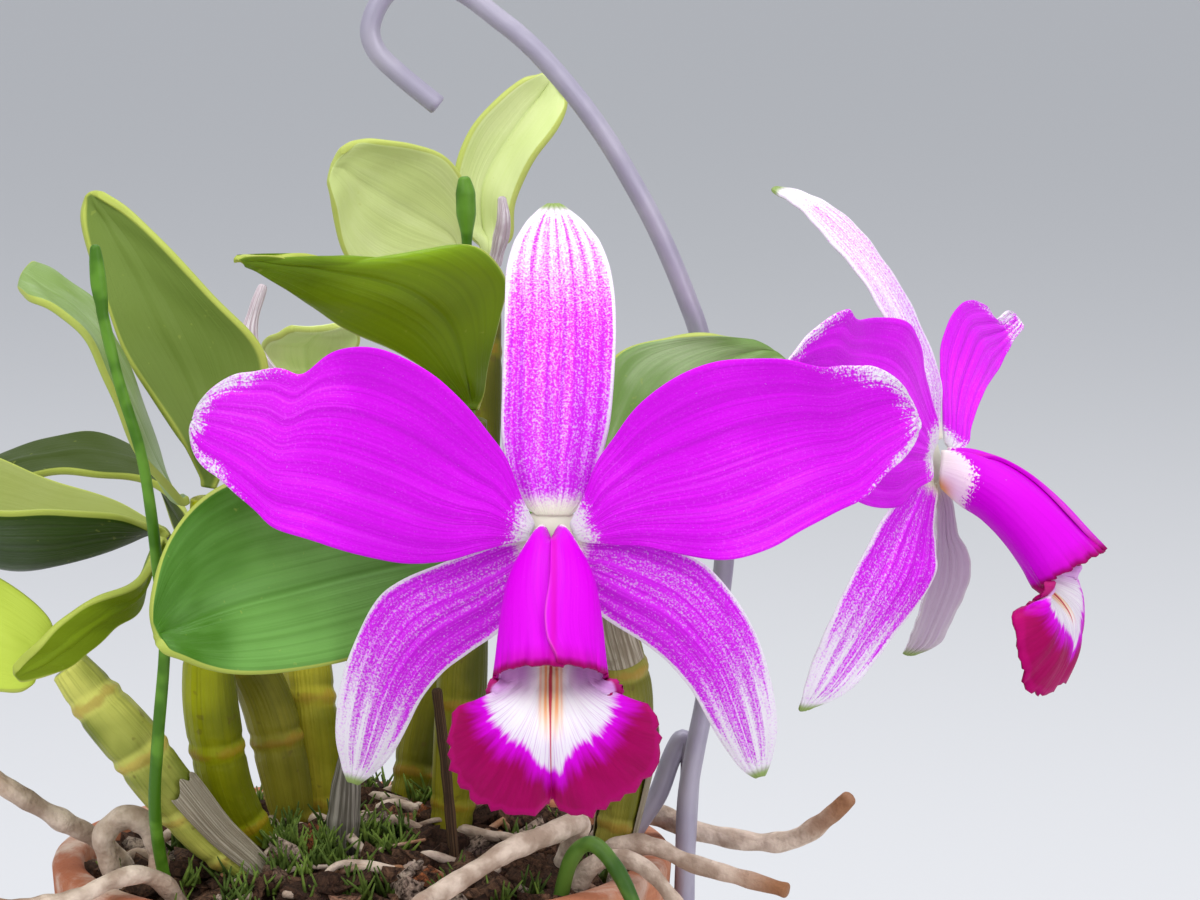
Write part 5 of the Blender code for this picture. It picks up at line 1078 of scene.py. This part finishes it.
def lip(label, bloom, looks, look):
    """Rolled tube and front lobe of the lip as one sheet."""
    half_turn, floor_steps, rows, deep = LIP_GRID
    bm, x, t = flat_grid(2 * half_turn, rows)
    # the right flap laps over the left one; its edge swings out and back near the mouth
    over = 0.03 + 0.085 * np.exp(-((t - 0.8) / 0.12) ** 2) - 0.16 * ease(t, 0.88, 1.0)
    below = 0.05 + 0.22 * ease(t, 0.6, 1.0)
    fold = ease(np.abs(x), 0.5, 1.0)
    angle = x * math.radians(184.5)
    angle = angle + fold * (np.where(x > 0, math.pi + over, -math.pi - below) - np.sign(x) * math.radians(184.5))
    flap = np.where(x > 0, (1 - x) * math.pi, 9.0)
    fu, ff, ru, rf, half = smooth(LIP_TUBE, t).T
    round_up = (1 - np.cos(angle)) / 2
    flare = 0.08 * t ** 6
    wide = 0.94 * half * (1 + flare * np.exp(-((np.abs(angle) - 1.35) / 0.5) ** 2))
    lap = ease(np.abs(angle), math.radians(150), math.radians(178)) * np.sign(angle)
    lift = np.where(angle > 0, 0.4, -0.4) * np.abs(lap)
    ruff = ease(t, 0.86, 1.0) * (0.30 * np.sin(angle * 13 + 1) + 0.16 * np.sin(angle * 29))
    crease = -0.35 * np.exp(-((np.abs(angle) - math.radians(172)) / 0.1) ** 2) * ease(t, 0.0, 0.1)
    shoulder = 0.7 * np.exp(-((np.abs(angle) - 2.55) / 0.3) ** 2) * (1 - ease(t, 0.1, 0.45))
    notch = 1.7 * np.exp(-((np.abs(angle) - math.pi) / 0.26) ** 2) * (1 - ease(t, 0.08, 0.4)) - shoulder
    local = np.stack([wide * np.sin(angle) * (1 + 0.04 * lift), fu + (ru - fu) * round_up + lift * 0.7 - notch,
                      ff + (rf - ff) * round_up + lift * 0.55 + crease + ruff + 0.4 * notch], axis=1)
    tube_count = len(bm.verts)
    row = np.rint(t * rows).astype(int)
    col = np.rint((x + 1) * half_turn).astype(int)
    throat = {int(c) - half_turn + floor_steps: local[i] for i, c in enumerate(col)
              if row[i] == rows and abs(c - half_turn) <= floor_steps}
    inner = np.array([throat[k] for k in range(2 * floor_steps + 1)])
    made = bmesh.ops.create_grid(bm, x_segments=2 * floor_steps, y_segments=deep, size=1.0, calc_uvs=True)
    at = np.array([v.co[:2] for v in made["verts"]])
    v2, g = at[:, 0], (at[:, 1] + 1) / 2
    outer = smooth(WING_LEFT + LIP_EDGE + WING_RIGHT, (v2 + 1) / 2)
    start = inner[np.rint((v2 + 1) * floor_steps).astype(int)]
    rng = np.random.default_rng(5)
    depth = np.linalg.norm(outer - start, axis=1)
    teeth = rng.uniform(-1, 1, 2 * floor_steps + 1)[np.rint((v2 + 1) * floor_steps).astype(int)]
    spread = 1 + 0.04 * teeth * g ** 8
    lobe = start * (1 - g)[:, None] + outer * g[:, None]
    middle = np.array([0.0, -26.0])
    lobe[:, :2] = middle + (lobe[:, :2] - middle) * spread[:, None]
    bulge = 5.6 * 4 * g * (1 - g) * (1 - 0.75 * v2 ** 2) * (1 - 0.25 * g)
    ruffle = g * g * (0.55 * np.sin((v2 + 1) * 7 * 2.4) + 0.28 * np.sin(v2 * 41 + 1))
    keel = -0.7 * np.exp(-(v2 / 0.045) ** 2) * ease(g, 0.0, 0.3)
    lobe[:, 2] += bulge + ruffle + keel
    lobe[:, 1] += 0.25 * bulge
    lobe[g < 1e-6] = start[g < 1e-6]
    local = np.vstack([local, lobe])
    flat = local.copy()
    if label == "flower_2":
        drop = np.maximum(0.0, -20.0 - local[:, 1])
        local[:, 1] += LOBE_LIFT * drop
        local[:, 2] += 0.45 * LOBE_LIFT * drop
    put(bm, bloom.place(local))
    none = np.zeros(len(g))
    stamp(bm, s=flat[:, 0], h=flat[:, 1], lobe=np.concatenate([np.zeros(tube_count), g]),
          run=np.concatenate([t, none + 1.0]), roof=np.concatenate([round_up, none]),
          flap=np.concatenate([flap * half, none + 9.0]),
          edge=np.concatenate([(1 - t) * 14 + 6 * (np.abs(angle) < 1.28),
                               np.minimum((1 - g) * depth, (1 - np.abs(v2)) * 20)]))
    bmesh.ops.remove_doubles(bm, verts=bm.verts, dist=2e-5)
    bmesh.ops.recalc_face_normals(bm, faces=bm.faces)
    # faces look into the tube and out of the lobe
    probe = max(bm.faces, key=lambda f: -abs((f.calc_center_median() - Vector(bloom.place((0, -30, 22)) * MM)).length))
    if probe.normal.dot(Vector(bloom.out)) < 0:
        bmesh.ops.reverse_faces(bm, faces=bm.faces)
    obj = finish_piece(label + "_lip_skin", bm, looks, "lip", label + "_lip")
    return skin(obj, look.tissue, rim=1, fine=True)


def stalk(name, path, radii, sides, rows, material, slot, *nodes, bend=0.0):
    """A round stem or root along a path in millimetres, made uneven by bend."""
    bm, pos, around, rad, _, t, run = rod(path, radii, sides, rows)
    rough = bend * np.array([noise.noise(Vector(p) * 0.35 + Vector((sum(map(ord, name)), 0, 0))) for p in pos])
    put(bm, pos + around * (rad * (1 + rough))[:, None])
    stamp(bm, ring=np.full(len(t), 9.0), edge=run)
    close_rod(bm)
    obj = new_piece(name, bm, [material], slot, *nodes)
    soft = obj.modifiers.new("Smooth", "SUBSURF")
    soft.levels = soft.render_levels = 1
    return obj


class ORCHID_OT_blooms(bpy.types.Operator):
    """Builds both blooms: sepals, petals, lip, column and stalk"""
    bl_idname = "orchid.blooms"
    bl_label = "Blooms"

    def execute(self, context):
        look = context.scene.orchid_bloom
        petal = petal_tissue(look, "petal_tissue")
        petal_back = petal_tissue(look, "petal_back_tissue", 0.25)
        upright = sepal_tissue(look, "upper_sepal_tissue", 0.3, 0.5, 4.2, 0.9)
        lower = sepal_tissue(look, "lower_sepal_tissue", 0.04, 4.4, 4.4, 1.04)
        turned = sepal_tissue(look, "turned_sepal_tissue", 0.1, 0.5, 9.5, 0.5)
        sepal_back = sepal_tissue(look, "sepal_back_tissue", 0.10, 0.6, 4.0, 0.7, back=True)
        lips = [lip_inner_tissue(look), lip_outer_tissue(look)]
        column = waxy_tissue("column_tissue", "EADFE6", "C77CC8")
        hub = waxy_tissue("flower_stalk_tissue", "C9CF94", "9CAE62", "EDECD6")
        for label, spot in (("flower_1", BLOOM_1), ("flower_2", BLOOM_2)):
            bloom = Bloom(*spot)
            tepal(label, "dorsal_sepal", bloom, DORSAL, [turned if label == "flower_2" else upright, sepal_back],
                  look, 0.15,
                  "sepal")
            tepal(label, "petal_left", bloom, PETAL_LEFT, [petal, petal_back], look, 0.35, "petal")
            tepal(label, "petal_right", bloom, PETAL_RIGHT, [petal, petal_back], look, 0.35, "petal")
            tepal(label, "sepal_left", bloom, LATERAL_LEFT, [lower, sepal_back], look, 0.15, "sepal")
            tepal(label, "sepal_right", bloom, LATERAL_RIGHT, [lower, sepal_back], look, 0.15, "sepal",
                  flip=label == "flower_2")
            lip(label, bloom, lips, look)
            rows = [bloom.place((0, u, f)) for u, f, _ in COLUMN]
            stalk(label + "_column_skin", rows, [r * bloom.size for *_, r in COLUMN], 20, 24, column, "column",
                  label + "_column")
            knots = [(bloom.place(p), r * bloom.size) for p, r in HUB]
            rows = [k[0] for k in knots] + [p[:3] for p in PEDICELS[label]]
            radii = [k[1] for k in knots] + [p[3] for p in PEDICELS[label]]
            stalk(label + "_pedicel_skin", rows, radii, 20, 40, hub, "pedicel", label + "_pedicel")
        return {"FINISHED"}


class ORCHID_OT_leaves(bpy.types.Operator):
    """Builds the twelve leathery leaves"""
    bl_idname = "orchid.leaves"
    bl_label = "Leaves"

    def execute(self, context):
        look = context.scene.orchid_leaf
        for name, (base_green, lit, under, rim, side) in LEAF_LOOKS.items():
            cane, way, fold, reach = LEAF_SEAT[name]
            top = np.array(CANES[cane][0][:3])
            way = np.array(way) / np.linalg.norm(way)
            table = np.asarray(LEAF_ROWS[name], float).reshape(-1, 3, 3)
            across = table[0, 2] - table[0, 0]
            across -= way * np.dot(across, way)
            across /= np.linalg.norm(across)
            base, neck = top + way * reach, top + way * (reach + 2.2)
            table = np.vstack([[[base - across * 1.2, base, base + across * 1.2],
                                [neck - across * 1.9, neck, neck + across * 1.9]], table])
            bm, v, t = flat_grid(*LEAF_GRID)
            points, half, out = sheet_points(table, v, t, fold)
            run, whole = arc_length(table, t)
            seed = sum(map(ord, name))
            ends = ease(t, 0.05, 0.2) * ease(1 - t, 0, 0.12)
            wave = 0.35 * v * v * np.sin(t * 13 + v * 2 + seed) + 0.12 * np.sin(t * 31 + v * 5 + seed)
            groove = -look.groove / MM * np.exp(-(v / 0.07) ** 2) * side
            points = points + out * ((wave + groove) * ends)[:, None]
            put(bm, points)
            stamp(bm, edge=np.minimum((1 - np.abs(v)) * half, whole - run + 0.2), mid=np.abs(v) * half, ring=run)
            if side < 0:
                bmesh.ops.reverse_faces(bm, faces=bm.faces)
            skins = [leaf_cuticle(look, name + "_upper_cuticle", base_green, lit, rim, 0.34),
                     leaf_cuticle(look, name + "_lower_cuticle", under, under, rim, 0.5, 0.15)]
            slot = "leaf_pale" if name in ("leaf_5", "leaf_10", "leaf_11", "leaf_12") else "leaf"
            skin(finish_piece(name + "_skin", bm, skins, slot, name), look.blade)
        return {"FINISHED"}


class ORCHID_OT_canes(bpy.types.Operator):
    """Builds the swollen canes with their ring scars and dry sheaths"""
    bl_idname = "orchid.canes"
    bl_label = "Canes"

    def execute(self, context):
        paper = dried_sheath("dried_sheath", "BCB39E", "857A64")
        for name, rows in CANES.items():
            shaded, lit = CANE_LOOKS[name]
            bm, pos, around, rad, turn, t, run = rod([r[:3] for r in rows], [r[3] for r in rows], *CANE_GRID)
            rad = smooth([[r[3]] for r in rows], t)[:, 0]
            gaps = np.array([0.13, 0.36, 0.6, 0.82]) * run.max()
            near = np.min(np.abs(run[:, None] + 0.5 * np.sin(turn)[:, None] - gaps), axis=1)
            shape = 1 + 0.045 * np.exp(-(near / 0.7) ** 2) - 0.05 * np.exp(-((near - 1.5) / 0.7) ** 2)
            shape = shape + 0.018 * np.sin(turn * 7 + t * 5) + 0.012 * np.sin(turn * 13 - t * 9)
            put(bm, pos + around * (rad * shape)[:, None])
            # painted light: how far each point of the skin faces the key light, up, front and left; the skin is
            # painted lit or shaded by this
            light_facing = around @ np.array([-0.55, -0.35, 0.76])
            stamp(bm, ring=near, edge=run, mid=light_facing)
            close_rod(bm)
            new_piece(name + "_skin", bm, [cane_skin(name + "_skin", shaded, lit)], "cane", name)
            for k, (low, high, open_at, width) in enumerate(SHEATHS.get(name, ())):
                self.sheath(f"{name}_sheath_{k + 1}", rows, low, high, open_at, width, paper)
        return {"FINISHED"}

    def sheath(self, name, rows, low, high, open_at, width, paper):
        """A dry husk part way round a cane, torn along its upper edge."""
        path = smooth([r[:3] for r in rows], np.linspace(low, high, 24))
        radii = smooth([[r[3]] for r in rows], np.linspace(low, high, 24))[:, 0]
        bm, pos, _, rad, turn, t, _ = rod(path, radii, *SHEATH_GRID)
        seed = sum(map(ord, name))
        turn = open_at + turn * width
        torn = 2.2 * (1 - ease(t, 0, 0.3)) * np.array([noise.noise(Vector((a * 2.2, seed, 0))) for a in turn])
        lift = 0.4 + 0.9 * (1 - ease(t, 0, 0.4)) * np.array([0.5 + noise.noise(Vector((a * 1.3, seed, b * 2)))
                                                              for a, b in zip(turn, t)])
        axis = np.gradient(path, axis=0)
        axis /= np.linalg.norm(axis, axis=1)[:, None]
        row = np.clip(np.rint(t * 23).astype(int), 0, 23)
        way = axis[row]
        side = np.cross(way, np.array([0.0, 1.0, 0.0]))
        side /= np.linalg.norm(side, axis=1)[:, None]
        front = np.cross(side, way)
        around = np.sin(turn)[:, None] * side + np.cos(turn)[:, None] * front
        put(bm, pos + around * (rad + lift)[:, None] + way * torn[:, None])
        obj = finish_piece(name, bm, [paper, paper], "dry")
        return skin(obj, 0.25 * MM)


class ORCHID_OT_stems(bpy.types.Operator):
    """Builds the roots, thin stalks, bracts, stump and stake"""
    bl_idname = "orchid.stems"
    bl_label = "Roots and stalks"

    def execute(self, context):
        dry_root = velamen("velamen", "D9C6B4", "A48E7C", "94603A")
        looks = {
            "green_stem": (waxy_tissue("green_stem_skin", "35581A", "56782C"), "stem", 0.1),
            "seed_stalk_1": (waxy_tissue("seed_stalk_skin", "3E6A0E", "5C8A26"), "stem", 0.08),
            "dry_stump": (dried_sheath("stump_sheath", "A29C90", "5C574C"), "dry", 0.25),
            "bract_1": (dried_sheath("pink_bract", "FAF0F4", "C8B2BA"), "dry", 0.2),
            "stake": (dried_sheath("stake_wood", "6B5138", "3E2E22"), "bark", 0.1),
            "peduncle": (waxy_tissue("peduncle_skin", "94A55C", "B6C27E"), "stem", 0.05),
        }
        looks["seed_stalk_2"], looks["bract_2"] = looks["seed_stalk_1"], looks["bract_1"]
        for name, points in ROUND_PARTS.items():
            if name == "hanger":
                continue
            ramp = np.interp(np.linspace(0, 1, len(points)), [0, 0.5, 1], ROUND_SIZE[name])
            for k, r in SWOLLEN.get(name, {}).items():
                ramp[k] = r
            root = name.startswith("root")
            material, slot, bend = (dry_root, "root", 0.28) if root else looks[name]
            stalk(name + "_skin", points, list(ramp), 18, 22 if name.startswith("bract") else 80, material, slot, name,
                  bend=bend)
        self.rootlets(dry_root)
        return {"FINISHED"}

    def rootlets(self, material):
        """Thin dry side roots that wander over the bark."""
        rng = random.Random(12)
        joined = bmesh.new()
        joined.loops.layers.uv.new("UVMap")
        for _ in range(ROOTLETS):
            a, r = rng.uniform(0, 2 * math.pi), rng.uniform(6, 40)
            x, y = r * math.cos(a), r * math.sin(a)
            way, step = rng.uniform(0, 2 * math.pi), rng.uniform(4, 7)
            points = []
            for _ in range(rng.randint(4, 7)):
                points.append((x, y, dome_height(x, y) + rng.uniform(-0.5, 3.2)))
                way += rng.uniform(-0.8, 0.8)
                x, y = x + step * math.cos(way), y + step * math.sin(way)
                if math.hypot(x, y) > BED_RADIUS:
                    way += 2.4
                    x, y = x * 0.94, y * 0.94
            size = rng.uniform(0.35, 1.0)
            part, pos, around, rad, *_ = rod(points, [size, size, size * 0.6], 8, 26)
            put(part, pos + around * rad[:, None])
            close_rod(part)
            mesh = bpy.data.meshes.new("part")
            part.to_mesh(mesh)
            part.free()
            joined.from_mesh(mesh)
            bpy.data.meshes.remove(mesh)
        new_piece("side_roots", joined, [material], "root")


def dome_height(x, y):
    """Height of the potting medium's surface in mm."""
    share = min(math.hypot(x, y) / BED_RADIUS, 1.0)
    return BED_EDGE + BED_RISE * (1 - share ** 2.2)


class ORCHID_OT_medium(bpy.types.Operator):
    """Builds the bark chips and moss that fill the pot"""
    bl_idname = "orchid.medium"
    bl_label = "Potting medium"

    def execute(self, context):
        look = context.scene.orchid_ground
        bark = fir_bark("fir_bark", look)
        rng = random.Random(8)
        bm = bmesh.new()
        chip = bm.verts.layers.float.new("chip")
        for _ in range(look.chips):
            a, r = rng.uniform(0, 2 * math.pi), 44.5 * math.sqrt(rng.random())
            x, y = r * math.cos(a), r * math.sin(a)
            z = dome_height(x, y) + rng.uniform(-3.0, 0.8)
            long, wide, thick = rng.uniform(5, 11), rng.uniform(3.5, 7), rng.uniform(1.5, 3.6)
            turn = (Matrix.Rotation(rng.uniform(0, 6.3), 4, "Z") @ Matrix.Rotation(rng.gauss(0, 0.5), 4, "X")
                    @ Matrix.Rotation(rng.gauss(0, 0.4), 4, "Y"))
            place = Matrix.Translation((x * MM, y * MM, z * MM)) @ turn @ Matrix.Diagonal(
                (long * MM, wide * MM, thick * MM, 1))
            made = bmesh.ops.create_cube(bm, size=1.0, matrix=place)["verts"]
            own = rng.random()
            for v in made:
                v[chip] = own
        bmesh.ops.subdivide_edges(bm, edges=bm.edges[:], cuts=1, use_grid_fill=True)
        for v in bm.verts:
            v.co += Vector([rng.uniform(-0.75, 0.75) * MM for _ in range(3)])
        bed = bmesh.ops.create_cone(bm, cap_ends=True, segments=64, radius1=0.0285, radius2=0.0462, depth=0.0825,
                                    matrix=Matrix.Translation((0, 0, 0.0488)))["verts"]
        for v in bed:
            v[chip] = 0.1
        obj = new_piece("bark_chips", bm, [bark], "bark", "potting_medium")
        edge = obj.modifiers.new("Worn edges", "BEVEL")
        edge.width, edge.segments, edge.limit_method = 0.25 * MM, 1, "ANGLE"
        self.moss()
        return {"FINISHED"}

    def moss(self):
        """Tufts of thin green shoots between the chips."""
        rng = random.Random(4)
        bm = bmesh.new()
        chip = bm.verts.layers.float.new("chip")
        for _ in range(MOSS_TUFTS):
            if rng.random() < 0.55:
                x, y = rng.gauss(-9, 11), rng.gauss(-24, 9)
            else:
                x, y = rng.gauss(8, 18), rng.gauss(0, 20)
            if math.hypot(x, y) > 44:
                continue
            low, own = dome_height(x, y) + rng.uniform(-1, 2), rng.random()
            for _ in range(rng.randint(7, 14)):
                tall, lean, way = rng.uniform(2.0, 6.5), rng.uniform(0.2, 0.9), rng.uniform(0, 6.3)
                place = (Matrix.Translation(((x + rng.gauss(0, 1)) * MM, (y + rng.gauss(0, 1)) * MM, low * MM))
                         @ Matrix.Rotation(way, 4, "Z") @ Matrix.Rotation(lean, 4, "X")
                         @ Matrix.Translation((0, 0, tall * MM / 2)))
                made = bmesh.ops.create_cone(bm, cap_ends=True, segments=5, radius1=0.42 * MM, radius2=0.12 * MM,
                                             depth=tall * MM, matrix=place)["verts"]
                for v in made:
                    v[chip] = own
        new_piece("moss_tufts", bm, [green_moss()], "stem")


class ORCHID_OT_pot(bpy.types.Operator):
    """Builds the thrown clay pot"""
    bl_idname = "orchid.pot"
    bl_label = "Clay pot"

    def execute(self, context):
        bm = bmesh.new()
        rows = [bm.verts.new((r * MM, 0, z * MM)) for r, z in POT_PROFILE]
        edges = [bm.edges.new(pair) for pair in zip(rows, rows[1:])]
        bmesh.ops.spin(bm, geom=rows + edges, cent=(0, 0, 0), axis=(0, 0, 1), angle=2 * math.pi, steps=144,
                       use_merge=True)
        bmesh.ops.remove_doubles(bm, verts=bm.verts, dist=1e-6)
        obj = new_piece("clay_pot", bm, [fired_clay(context.scene.orchid_ground)], "clay", "pot")
        obj.data.set_sharp_from_angle(angle=math.radians(40))
        return {"FINISHED"}


class ORCHID_OT_hanger(bpy.types.Operator):
    """Builds the bent wire hanger"""
    bl_idname = "orchid.hanger"
    bl_label = "Wire hanger"

    def execute(self, context):
        look = context.scene.orchid_ground
        radius = look.wire_radius / MM
        bm, pos, around, rad, *_ = rod(ROUND_PARTS["hanger"], [radius, radius], 24, 320)
        put(bm, pos + around * rad[:, None])
        close_rod(bm)
        new_piece("hanger_wire", bm, [zinc_wire(look)], "wire", "hanger")
        return {"FINISHED"}


class ORCHID_OT_stage(bpy.types.Operator):
    """Sets the pale floor, the soft lights and the camera"""
    bl_idname = "orchid.stage"
    bl_label = "Stage"

    def execute(self, context):
        scene = context.scene
        bm = bmesh.new()
        bmesh.ops.create_grid(bm, x_segments=1, y_segments=1, size=FLOOR_HALF)
        mesh = bpy.data.meshes.new("floor")
        bm.to_mesh(mesh)
        bm.free()
        floor = bpy.data.objects.new("floor", mesh)
        scene.collection.objects.link(floor)
        paper, t = start_material("matt_paper")
        finish_material(t, "CCCCCE", 0.9, Specular_IOR_Level=0.1)
        mesh.materials.append(paper)
        world = bpy.data.worlds.new("studio")
        scene.world = world
        world.use_nodes = True
        sky = world.node_tree.nodes["Background"].inputs
        sky["Color"].default_value, sky["Strength"].default_value = rgba("EAEEF4"), 0.84
        for name, (spot, size, power) in LIGHTS.items():
            light = bpy.data.lights.new(name, "AREA")
            light.energy, light.size = power, size
            lamp = bpy.data.objects.new(name, light)
            scene.collection.objects.link(lamp)
            lamp.location = spot
            lamp.rotation_euler = (Vector(LIT_SPOT) - Vector(spot)).to_track_quat("-Z", "Y").to_euler()
        lens = bpy.data.cameras.new("camera")
        lens.sensor_width = 36.0
        lens.angle = math.radians(VIEW_ANGLE)
        camera = bpy.data.objects.new("camera", lens)
        camera.location = CAMERA_SPOT
        camera.rotation_euler = (math.radians(CAMERA_TILT), 0.0, 0.0)
        scene.collection.objects.link(camera)
        scene.camera = camera
        scene.view_settings.view_transform = "Standard"
        return {"FINISHED"}


OPERATORS = (ORCHID_OT_pot, ORCHID_OT_medium, ORCHID_OT_hanger, ORCHID_OT_canes, ORCHID_OT_leaves, ORCHID_OT_stems,
             ORCHID_OT_blooms, ORCHID_OT_stage)


class ORCHID_PT_panel(bpy.types.Panel):
    bl_label = "Potted orchid"
    bl_idname = "ORCHID_PT_panel"
    bl_space_type = "VIEW_3D"
    bl_region_type = "UI"
    bl_category = "Orchid"

    def draw(self, context):
        for settings in ("orchid_bloom", "orchid_leaf", "orchid_ground"):
            group = getattr(context.scene, settings)
            for key in group.bl_rna.properties.keys():
                if key not in ("rna_type", "name"):
                    self.layout.prop(group, key)
        for operator in OPERATORS:
            self.layout.operator(operator.bl_idname)


SETTINGS = {"orchid_bloom": BloomSettings, "orchid_leaf": LeafSettings, "orchid_ground": GroundSettings}


def register():
    for group in SETTINGS.values():
        bpy.utils.register_class(group)
    for operator in OPERATORS:
        bpy.utils.register_class(operator)
    bpy.utils.register_class(ORCHID_PT_panel)
    for key, group in SETTINGS.items():
        setattr(bpy.types.Scene, key, PointerProperty(type=group))


def unregister():
    for key in SETTINGS:
        delattr(bpy.types.Scene, key)
    for cls in (ORCHID_PT_panel, *reversed(OPERATORS), *SETTINGS.values()):
        bpy.utils.unregister_class(cls)


def main():
    register()
    for step in (bpy.ops.orchid.pot, bpy.ops.orchid.medium, bpy.ops.orchid.hanger, bpy.ops.orchid.canes,
                 bpy.ops.orchid.leaves, bpy.ops.orchid.stems, bpy.ops.orchid.blooms, bpy.ops.orchid.stage):
        step()


if __name__ == "__main__":
    main()
